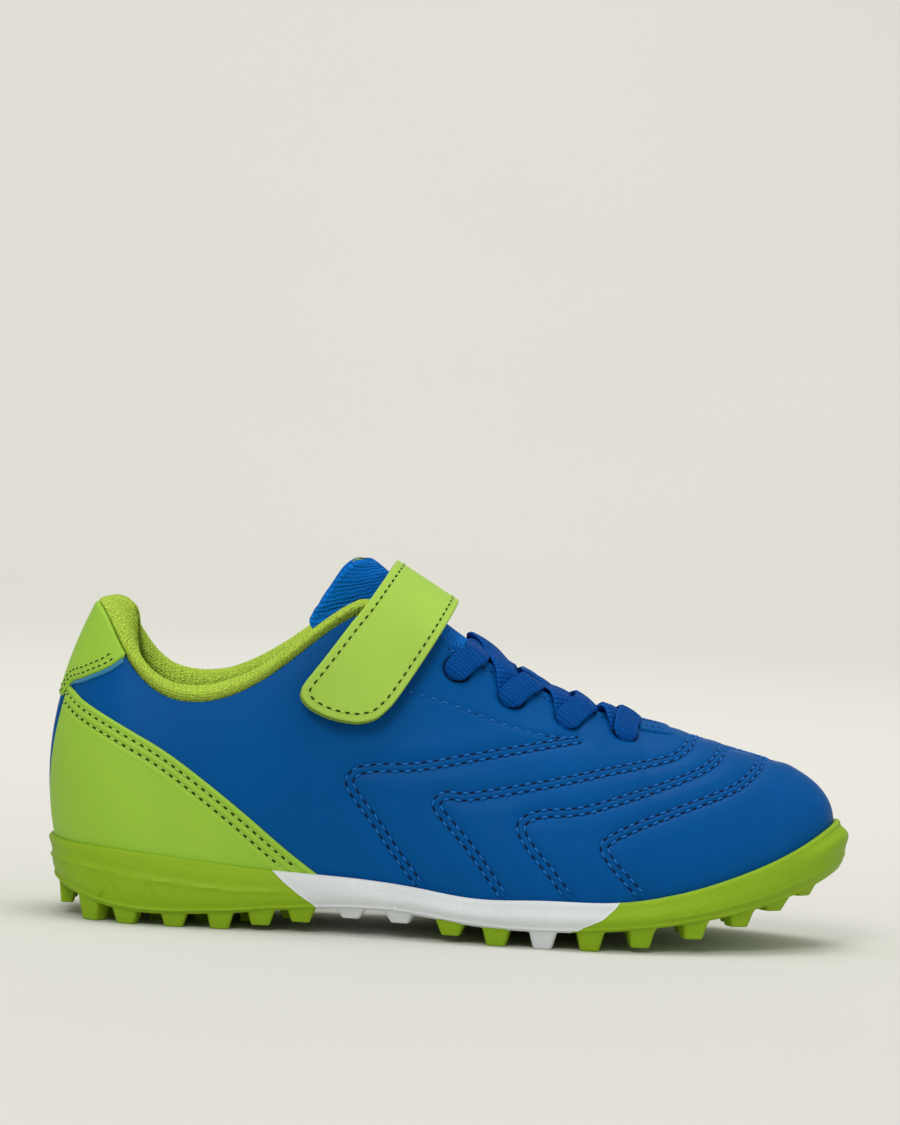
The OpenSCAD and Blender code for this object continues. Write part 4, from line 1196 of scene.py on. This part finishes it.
def make_laces():
    make_lace_holes()
    mesh = Mesh()
    *crossed, straight = HOLES
    for hole in crossed:
        far = hole[0] + LACE_REACH
        for side, lift in ((1, LOW_LACE), (-1, HIGH_LACE)):
            tuck = [on_skin(-side * (far + 0.05), 0.945, 0.3), on_skin(-side * (far + 0.1), 0.89, -2.4)]
            path = np.concatenate([lace_path(side, hole, far, lift), tuck])
            lace_strip(mesh, smooth_line(path, LACE_STEP), side, end_tucked=True)
    near, far = (lace_path(side, straight, straight[0] + 0.2, 1.1, 0.2) for side in (1, -1))
    lace_strip(mesh, smooth_line(np.concatenate([near, far[2::-1]]), LACE_STEP), 1, end_tucked=False)
    lace = mesh.make("elastic_lace_braid", MATERIALS["lace"], "lace_elastic")
    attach(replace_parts(lace, "elastic_lace"), "shoe")


# ==== Strap: one band over the tongue; its line is y and height q, and w runs across the band
STRAP_LINE = [(25.6, 98), (22.4, 108.5), (18.6, 115.8), (13.2, 121.6), (7, 125), (0, 126), (-7, 125),
              (-13.2, 121.4), (-18.9, 115.8), (-22.9, 108.5), (-26.9, 99), (-28.9, 91), (-29.6, 83.6)]
WIDTH_AXIS = np.array([0.861, 0, -0.508])
HINGES = {"strap_open": 2, "strap_peel": 9}
HINGE_REACH = 5.0
RIDGE_T = 5.0
BAND_T = np.linspace(0, 12, 1201)
BAND = spline(STRAP_LINE, BAND_T)
BAND_RUN = length_along(BAND) - np.interp(RIDGE_T, BAND_T, length_along(BAND))
BAND_DIR = unit(np.gradient(BAND, axis=0))
FACE_LOW, FACE_HIGH = 1.25, 2.75
# Edges of the outer half, as height q and w
LEFT_EDGE = [(126, 25.7), (116, 25.1), (108, 24.3), (98, 23.5), (91, 22.8), (89, 22.7)]
TIP_EDGE = [(89, 22.7), (87, 23.5), (85.8, 25.4), (85.4, 28.4), (86, 33), (87.8, 38), (89.6, 41),
            (92.5, 43.6), (97, 45)]
RIGHT_EDGE = [(126, 45.4), (118, 45.6), (108, 45.5), (101, 45.3), (97, 45)]
BACK_W, FRONT_W = LEFT_EDGE[0][1], RIGHT_EDGE[0][1]
BACKING_HIGH = 1.1
STRAP_ROUND = 0.45
STRAP_SEAM_INSET = 2.1
STRAP_PITCH = 2.5
ANCHOR_BOX = 11
TAPE_W, TAPE_WIDTH = 27.5, 14.0
LOOP_TAPE = 0.9


def run_at(q):
    """How far along the band from the ridge its outer half has the height q."""
    outer = BAND_T >= RIDGE_T
    return np.interp(-np.asarray(q, float), -BAND[outer, 1], BAND_RUN[outer])


def band_point(run, w, lift):
    """A point of the band: run along it from the ridge, w across, lift from its inner face."""
    y, q, dy, dq = (np.interp(run, BAND_RUN, column) for column in (*BAND.T, *BAND_DIR.T))
    y, q = y + lift * dq, q - lift * dy
    sideways = np.stack([np.zeros_like(y), y, np.zeros_like(y)], -1)
    return sideways + q[..., None] * RIDGE_UP + np.asarray(w)[..., None] * WIDTH_AXIS


def outline(points, places):
    """Run and w at the places, 0 to 1, along an edge that is given as q and w."""
    line = smooth_line([(run_at(q), w, 0) for q, w in points], 0.2)[:, :2]
    run = length_along(line)
    return np.stack([np.interp(run[-1] * places, run, line[:, k]) for k in range(2)], 1)


def tip_map(rows, cols):
    """Run and w over the outer half: a patch between its four edges."""
    left, right, end = outline(LEFT_EDGE, rows), outline(RIGHT_EDGE, rows), outline(TIP_EDGE, cols)
    top = np.stack([np.zeros(len(cols)), BACK_W + (FRONT_W - BACK_W) * cols], 1)
    s, t = rows[:, None, None], cols[None, :, None]
    corners = ((1 - s) * (1 - t) * top[0] + (1 - s) * t * top[-1] + s * (1 - t) * end[0] + s * t * end[-1])
    return (1 - t) * left[:, None] + t * right[:, None] + (1 - s) * top[None] + s * end[None] - corners


def anchor_map(rows, cols):
    """Run and w over the inner half, which keeps its width down to its stitched end."""
    return np.stack(np.meshgrid(BAND_RUN[0] * rows, BACK_W + (FRONT_W - BACK_W) * cols, indexing="ij"), -1)


def strap_layer(plan, low, high):
    """One layer of half the strap, as a sheet with round edges and an open end at the ridge."""
    mesh = Mesh()
    middle = band_point(plan[..., 0], plan[..., 1], (low + high) / 2)
    slab(mesh, middle, (high - low) / 2, STRAP_ROUND, ("end", "left", "right"))
    return mesh


def hinge_points(joint):
    """Where the strap starts and stops to bend round a hinge line."""
    run = np.interp(HINGES[joint], BAND_T, BAND_RUN)
    middle = np.array((BACK_W + FRONT_W) / 2)
    return [placed(band_point(run + d, middle, FACE_HIGH)).tolist() for d in (-HINGE_REACH, HINGE_REACH)]


def outer_seams():
    """Run and w of the row of stitches round the outer half."""
    there = np.linspace(0, 1, 120)
    sides = [outline(LEFT_EDGE, there), outline(TIP_EDGE, there)[1:], outline(RIGHT_EDGE, there[::-1])[1:]]
    loop = even(np.concatenate(sides), 0.3)
    d = unit(np.gradient(loop, axis=0))
    return [loop + np.stack([-d[:, 1], d[:, 0]], 1) * STRAP_SEAM_INSET]


def inner_seams():
    """Run and w of the rows on the inner half: down both sides, and the box at the stitched end."""
    reach = BAND_RUN[0] + STRAP_SEAM_INSET
    low, high = BACK_W + STRAP_SEAM_INSET, FRONT_W - STRAP_SEAM_INSET
    box_run = reach + ANCHOR_BOX
    rows = [(0, low), (reach, low), (reach, high), (0, high)], [(box_run, low), (box_run, high)]
    return [even(np.array(points, float), 0.3) for points in rows]


def make_strap():
    rows, cols = tightened(120, 60, 1.2), tightened(50, 20, 1.0)
    halves = [
        ("outer", tip_map(rows, cols), outer_seams(), "strap_peel", ("strap_bridge_body", "strap_tip_body"),
         ("strap_tip",), ("strap_tip_backing",)),
        ("inner", anchor_map(rows, cols), inner_seams(), "strap_open", ("shoe", "strap_bridge_body"),
         ("strap_anchor", "strap_bridge"), ("strap_anchor_backing", "strap_bridge_backing")),
    ]
    for label, plan, lines, joint, bodies, face_nodes, back_nodes in halves:
        longer = plan * (1 + 0.012 * rows[:, None, None] ** 4 * [1, 0])
        face_layer = strap_layer(plan, FACE_LOW, FACE_HIGH)
        back_layer = strap_layer(longer, 0.0, BACKING_HIGH)
        face = face_layer.make(f"strap_{label}_leather", MATERIALS["strap"], "strap_leather")
        back = back_layer.make(f"strap_{label}_backing", MATERIALS["backing"], "strap_backing")
        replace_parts(face, *face_nodes)
        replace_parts(back, *back_nodes)
        seam = Seam()
        for line in lines:
            points = band_point(line[:, 0], line[:, 1], FACE_HIGH)
            below = band_point(line[:, 0], line[:, 1], FACE_HIGH - 1)
            seam.sew(points, unit(points - below), STRAP_PITCH, radius=0.25, low=-0.14, high=0.06, gap=1.25)
        start, end = hinge_points(joint)
        for piece in (face, back, *seam.make(f"strap_{label}", "green", "strap_leather")):
            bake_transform(piece)


def make_tapes():
    """Hook tape inside the tip and loop tape on the quarter under it."""
    hook = Mesh()
    near, far = np.interp([9.6, 11.0], BAND_T, BAND_RUN)
    rows, cols = tightened(30, far - near, 0.8), tightened(20, TAPE_WIDTH, 0.8)
    run, w = np.meshgrid(near + (far - near) * rows, TAPE_W + TAPE_WIDTH * cols, indexing="ij")
    slab(hook, band_point(run, w, -0.5), 0.3, 0.4)
    piece = hook.make("strap_hook_tape", MATERIALS["hooks"], "hook_tape")
    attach(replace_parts(piece, "strap_hook_patch"), "strap_tip_body")
    loop = Mesh()
    u, v = 5.75 + 0.95 * tightened(30, 18, 0.8), 0.7 + 0.15 * tightened(20, TAPE_WIDTH, 0.8)
    raised(loop, *np.meshgrid(u, v, indexing="ij"), LOOP_TAPE, ALL_SIDES, 0.6)
    piece = loop.make("quarter_loop_tape", MATERIALS["loops"], "loop_tape")
    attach(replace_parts(piece, "quarter_loop_patch"), "shoe")


# ==== Sole
RIM_DROP = [1.5, 1.1, 0.6, 0.3, 0.2, 0.2, 0.2, 0, 0, 0, 0, 0, 0.7, 1.4, 2.3, 3.5]
WALL_OUT = [-1.1, -0.7, -0.3, 0, 0, 0, 0, 0, 0, 0, 0, 0, 0, 0, 1, 1.8]
REAR_JOINT = [(59, 16.3), (62.5, 13.2), (66, 10.6), (71, 7.4), (72, 0)]
FRONT_JOINT = [(152, 16), (150.4, 13.6), (149, 11.6), (146, 8.8), (141, 6.4), (137.5, 5), (137, 0)]
HEEL_GROOVE = [(-2, 15.5), (-0.5, 15.4), (9.3, 14.6), (19.6, 13.2), (32.4, 12), (40, 11.3), (48, 10.7),
               (62, 10.8)]
CHEVRONS = [17, 27]
CHEVRON_HALF = 2.8
STUD_TIP = [(0, 4.5), (7, 0), (48, 0), (56, 1.4), (67, 2.8), (80, 4.6), (94, 4.2), (106, 2), (117, 0),
            (145, 0), (156, 1.3), (170, 3.9), (182, 7.2), (191, 11.2), (198, 14.5), (206, 19.5)]
EDGE_STUDS = [12.5, 21.5, 34, 46, 56.5, 67, 80, 93, 106.5, 118.4, 130.5, 142.8, 156, 169.8, 181.7, 191, 198.6]
INNER_STUDS = [17, 29, 41, 53, 64, 79, 93, 106, 118, 130, 142, 155, 168, 180, 190]
WHITE_EDGE_STUD = 130.5
STUD_L, STUD_W = 7.4, 7.0
STUD_TAPER = 0.64
STUD_SIDES = 24
STUD_SQUARENESS = 0.32
INNER_STUD_GAP = 11.5
HEEL_END, PLATE_END, SOLE_LENGTH = 72, 98, 210
WALL_ROWS = np.linspace(0, 12, 70)


def sole_heights(u):
    """Heights of the sole's rim and of its base between the studs."""
    r = rib(u)
    drop = by_rib(u, RIM_DROP)
    return r[..., 10] - drop, r[..., 11] - drop * 0.8


def wall_profile(u):
    """Control points of the sole's wall at u, from inside the upper down to the floor."""
    foot, rim, n = side_curve(u)[0], skin(u, sole_line(u)), outward(u)
    top, low = sole_heights(u)
    h = top - low
    spread = by_rib(u, WALL_OUT)[..., None]

    def at(base, out, z):
        p = base + n * (out + spread * (out > 2.2))
        return np.stack([p[..., 0], p[..., 1], z], -1)

    return np.stack([
        at(rim, -0.6, top - 1.2), at(rim, 0.15, top - 0.5), at(rim, 0.6, top - 0.08), at(rim, 1.3, top),
        at(rim, 1.85, top - 0.3), at(rim, 2.15, top - 0.1 * h), at(rim, 2.5, top - 0.27 * h),
        at(foot, 3.7, top - 0.55 * h), at(foot, 3.3, low + 0.25 * h), at(foot, 2.5, low + 0.1 * h),
        at(foot, 1.9, low + 0.02 * h), at(foot, 1.2, low), at(foot, 0.2, low)], 0)


def wall(u):
    """Points of the wall: u has one column for each of its rows, from the rim down."""
    controls = wall_profile(u)
    return np.stack([spline(controls[:, :, k], place) for k, place in enumerate(WALL_ROWS)], 1)


def wall_detail(u, p):
    """Moulded lines: the heel's groove and chevrons, the forefoot's line and the base plate's edge."""
    x, z = p[..., 0], p[..., 2]
    top, low = sole_heights(u)
    groove_z = np.interp(x, *zip(*HEEL_GROOVE))
    heel = ridge(z - groove_z, -0.55, 0.4) * np.clip((64 - x) / 5, 0, 1)
    step = -0.35 / (1 + np.exp((z - groove_z) / 0.25)) * np.clip((62 - x) / 12, 0, 1)
    front = ridge(z - low - 0.3 * (top - low), -0.3, 0.35) * np.clip((x - 158) / 8, 0, 1)
    plate = ridge(z - low - 0.95, -0.4, 0.24)
    for centre in CHEVRONS:
        aside = np.abs(x - centre)
        plate = plate + ridge(z - 10.8 + 1.5 * aside, 0.4, 0.5) * (aside < CHEVRON_HALF)
    return heel + step + front + plate


def crossing(joint, side):
    """For each row of the wall, the u at which it meets a slanting joint."""
    us = np.linspace(3.5, 11.5, 400)
    p = wall(side * np.broadcast_to(us[:, None], (len(us), len(WALL_ROWS))))
    heights, stations = zip(*sorted((z, x) for x, z in joint))
    gap = p[..., 0] - np.interp(p[..., 2], heights, stations)
    return np.array([np.interp(0, gap[:, k], us) for k in range(len(WALL_ROWS))])


def wall_zone(mesh, start, end, count):
    """The wall between two sets of u, with a small round at each joint."""
    t = tightened(count, 100, 1.2)[:, None]
    u = start[None, :] + (end - start)[None, :] * t
    p = wall(u)
    tuck = -0.22 * (1 - rounding(p, ("start", "end"), 0.5))
    mesh.grid(p + grid_normals(p) * (wall_detail(u, p) + tuck)[..., None])


def floor_zone(mesh, u0, u1, count):
    """The underside between two stations."""
    us = np.linspace(u0, u1, count)
    near, far = wall_profile(us)[-1][:, None], wall_profile(-us)[-1][:, None]
    t = np.linspace(0, 1, 24)[None, :, None]
    mesh.grid(near * (1 - t) + far * t, flip=True)


def rib_at(x):
    """The u at which the foot of the outer side is at x."""
    return np.interp(x, RIBS[: TOE + 1, 0], np.arange(TOE + 1))


def edge_point(x, side, out):
    """A point of the sole's outline moved outwards, and the outward direction there."""
    u = side * rib_at(x)
    return side_curve(u)[0] + outward(u) * out, outward(u)


def stud(mesh, x, y, angle, tip, long, wide):
    """A tapered stud with softened edges, sunk a little into the sole."""
    low = np.interp(x, RIBS[: TOE + 1, 0], RIBS[: TOE + 1, 11])
    sides = STUD_SIDES
    turn = np.linspace(0, 2 * math.pi, sides, endpoint=False) + math.pi / sides
    ring = np.stack([np.cos(turn), np.sin(turn)], 1)
    ring = np.sign(ring) * np.abs(ring) ** STUD_SQUARENESS
    levels = [(low + 0.9, 1.12), (low - 0.05, 1.04), (low - 0.5, 0.965), (tip + 0.5, STUD_TAPER + 0.055),
              (tip + 0.12, STUD_TAPER + 0.01), (tip, STUD_TAPER - 0.07)]
    turned = np.array([[math.cos(angle), math.sin(angle)], [-math.sin(angle), math.cos(angle)]])
    points = []
    for z, size in levels:
        xy = (ring * [long / 2 * size, wide / 2 * size]) @ turned + [x, y]
        points.append(np.concatenate([xy, np.full((sides, 1), z)], 1))
    tip_face = [(len(levels) - 1) * sides + k for k in range(sides)]
    faces = ring_faces(len(levels), sides) + [tip_face]
    mesh.add(np.concatenate(points), [face[::-1] for face in faces])


def edge_studs(mesh, xs):
    """A stud at each x along both edges of the sole."""
    for side in (1, -1):
        for x in xs:
            p, n = edge_point(x, side, -1.6)
            stud(mesh, p[0], p[1], math.atan2(n[0], -n[1]), np.interp(x, *zip(*STUD_TIP)), STUD_L, STUD_W)


def inner_studs(mesh, xs):
    """A row of smaller studs across the sole at each x, as many as fit between the edge studs."""
    for x in xs:
        low_y, high_y = edge_point(x, 1, 0)[0][1], edge_point(x, -1, 0)[0][1]
        count = max(1, 1 + 2 * math.floor(((high_y - low_y) / 2 - 11) / INNER_STUD_GAP))
        for k in range(count):
            y = (low_y + high_y) / 2 + (k - (count - 1) / 2) * INNER_STUD_GAP
            stud(mesh, x, y, 0, np.interp(x, *zip(*STUD_TIP)), STUD_L * 0.85, STUD_W * 0.8)


def between(xs, start, end):
    return [x for x in xs if start < x < end and x != WHITE_EDGE_STUD]


def heel_section(rear):
    heel = Mesh()
    wall_zone(heel, -rear[-1], rear[1], 260)
    floor_zone(heel, 0.02, rib_at(HEEL_END), 80)
    edge_studs(heel, between(EDGE_STUDS, 0, HEEL_END))
    inner_studs(heel, between(INNER_STUDS, 0, HEEL_END))
    for y in (-6.5, 6.5):
        stud(heel, 4.6, y, 0, 3, 5, 7)
    return heel


def midfoot_section(rear, front):
    shank = Mesh()
    for start, end in ((rear[1], front[1]), (-front[-1], -rear[-1])):
        wall_zone(shank, start, end, 160)
    floor_zone(shank, rib_at(HEEL_END), rib_at(PLATE_END), 40)
    edge_studs(shank, between(EDGE_STUDS, HEEL_END, PLATE_END) + [WHITE_EDGE_STUD])
    inner_studs(shank, between(INNER_STUDS, HEEL_END, PLATE_END))
    return shank


def forefoot_section(front):
    fore = Mesh()
    wall_zone(fore, front[1], LOOP - front[-1], 260)
    floor_zone(fore, rib_at(PLATE_END), TOE - 0.02, 120)
    edge_studs(fore, between(EDGE_STUDS, PLATE_END, SOLE_LENGTH))
    inner_studs(fore, between(INNER_STUDS, PLATE_END, SOLE_LENGTH))
    for y in (-1.5, 10.5):
        stud(fore, 204.5, y, 0, 19.5, 5, 6)
    return fore


def make_sole():
    rear = {side: crossing(REAR_JOINT, side) for side in (1, -1)}
    front = {side: crossing(FRONT_JOINT, side) for side in (1, -1)}
    heel, shank, fore = heel_section(rear), midfoot_section(rear, front), forefoot_section(front)
    for mesh, name, node, finish, slot in (
            (heel, "heel_rubber", "outsole_heel", "sole_green", "outsole_green"),
            (shank, "midfoot_rubber", "outsole_shank", "sole_white", "outsole_white"),
            (fore, "forefoot_rubber", "outsole_forefoot", "sole_green", "outsole_green")):
        piece = mesh.make(name, MATERIALS[finish], slot, weld=0, sharp=60)
        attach(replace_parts(piece, node), "shoe")


# ==== Studio
# Metres
VIEW_WIDTH, VIEW_DISTANCE = 0.2394, 1.4
# Degrees
VIEW_HEIGHT, VIEW_ROLL = 2.6, 2.9
# Millimetres, on the shoe
AIM = (101.45, 0, 97.8)


def make_camera():
    data = bpy.data.cameras.new("camera")
    data.sensor_fit = "HORIZONTAL"
    data.sensor_width = 36
    data.lens = data.sensor_width * VIEW_DISTANCE / VIEW_WIDTH
    camera = bpy.data.objects.new("camera", data)
    bpy.context.scene.collection.objects.link(camera)
    aim = Vector(placed(AIM))
    height = math.radians(VIEW_HEIGHT)
    offset = Vector((0, -math.cos(height), math.sin(height))) * VIEW_DISTANCE
    look = (-offset).to_track_quat("-Z", "Y").to_matrix().to_4x4()
    camera.matrix_world = (Matrix.Translation(aim + offset) @ look
                           @ Matrix.Rotation(math.radians(VIEW_ROLL), 4, "Z"))
    bpy.context.scene.camera = camera


def make_light(name, place, size, power, aim=(0, 0, 0.04)):
    data = bpy.data.lights.new(name, "AREA")
    data.size = size
    data.energy = power
    light = bpy.data.objects.new(name, data)
    bpy.context.scene.collection.objects.link(light)
    light.location = place
    light.rotation_euler = (Vector(aim) - Vector(place)).to_track_quat("-Z", "Y").to_euler()


def make_paper():
    """The floor and backdrop: one sheet of pale paper that curves up behind the shoe."""
    mesh = bpy.data.meshes.new("studio_sweep")
    reach, back, radius = 6.0, 2.5, 1.2
    turn = np.linspace(0, math.pi / 2, 24)
    curve = [(back - radius + radius * math.sin(a), radius - radius * math.cos(a)) for a in turn]
    profile = [(-4.0, 0.0), *curve, (back, 5.0)]
    points = [(side * reach, y, z) for y, z in profile for side in (-1, 1)]
    faces = [[2 * i, 2 * i + 1, 2 * i + 3, 2 * i + 2] for i in range(len(profile) - 1)]
    mesh.from_pydata(points, [], faces)
    mesh.polygons.foreach_set("use_smooth", [True] * len(faces))
    g = Graph("studio_paper")
    soft = g.noise(g.node("TexCoord", output="Object"), 3.0, 2.0)
    g.set(Base_Color=g.mix(soft, PAPER_SHADE, PAPER_LIGHT), Roughness=0.9, Specular_IOR_Level=0.1)
    mesh.materials.append(g.material)
    sweep = bpy.data.objects.new("studio_sweep", mesh)
    bpy.context.scene.collection.objects.link(sweep)


def make_studio():
    make_paper()
    world = bpy.data.worlds.new("studio_air")
    world.use_nodes = True
    background = world.node_tree.nodes["Background"]
    background.inputs["Color"].default_value = (0.97, 0.97, 1.0, 1)
    background.inputs["Strength"].default_value = 0.58
    bpy.context.scene.world = world
    make_light("key_light", (-0.45, -1.5, 1.35), 0.7, 14)
    make_light("top_light", (0.1, 0.0, 1.6), 0.8, 9)
    make_light("backdrop_light", (0, 0.7, 1.8), 2.0, 22, aim=(0, 2.5, 0.9))
    make_light("side_light", (1.3, -0.6, 0.8), 0.9, 1.5)
    bpy.context.scene.view_settings.view_transform = "Standard"


make_camera()
dress_frame()
make_upper()
make_heel()
make_throat_tab()
make_collar()
make_tongue()
make_laces()
make_strap()
make_tapes()
make_sole()
make_studio()
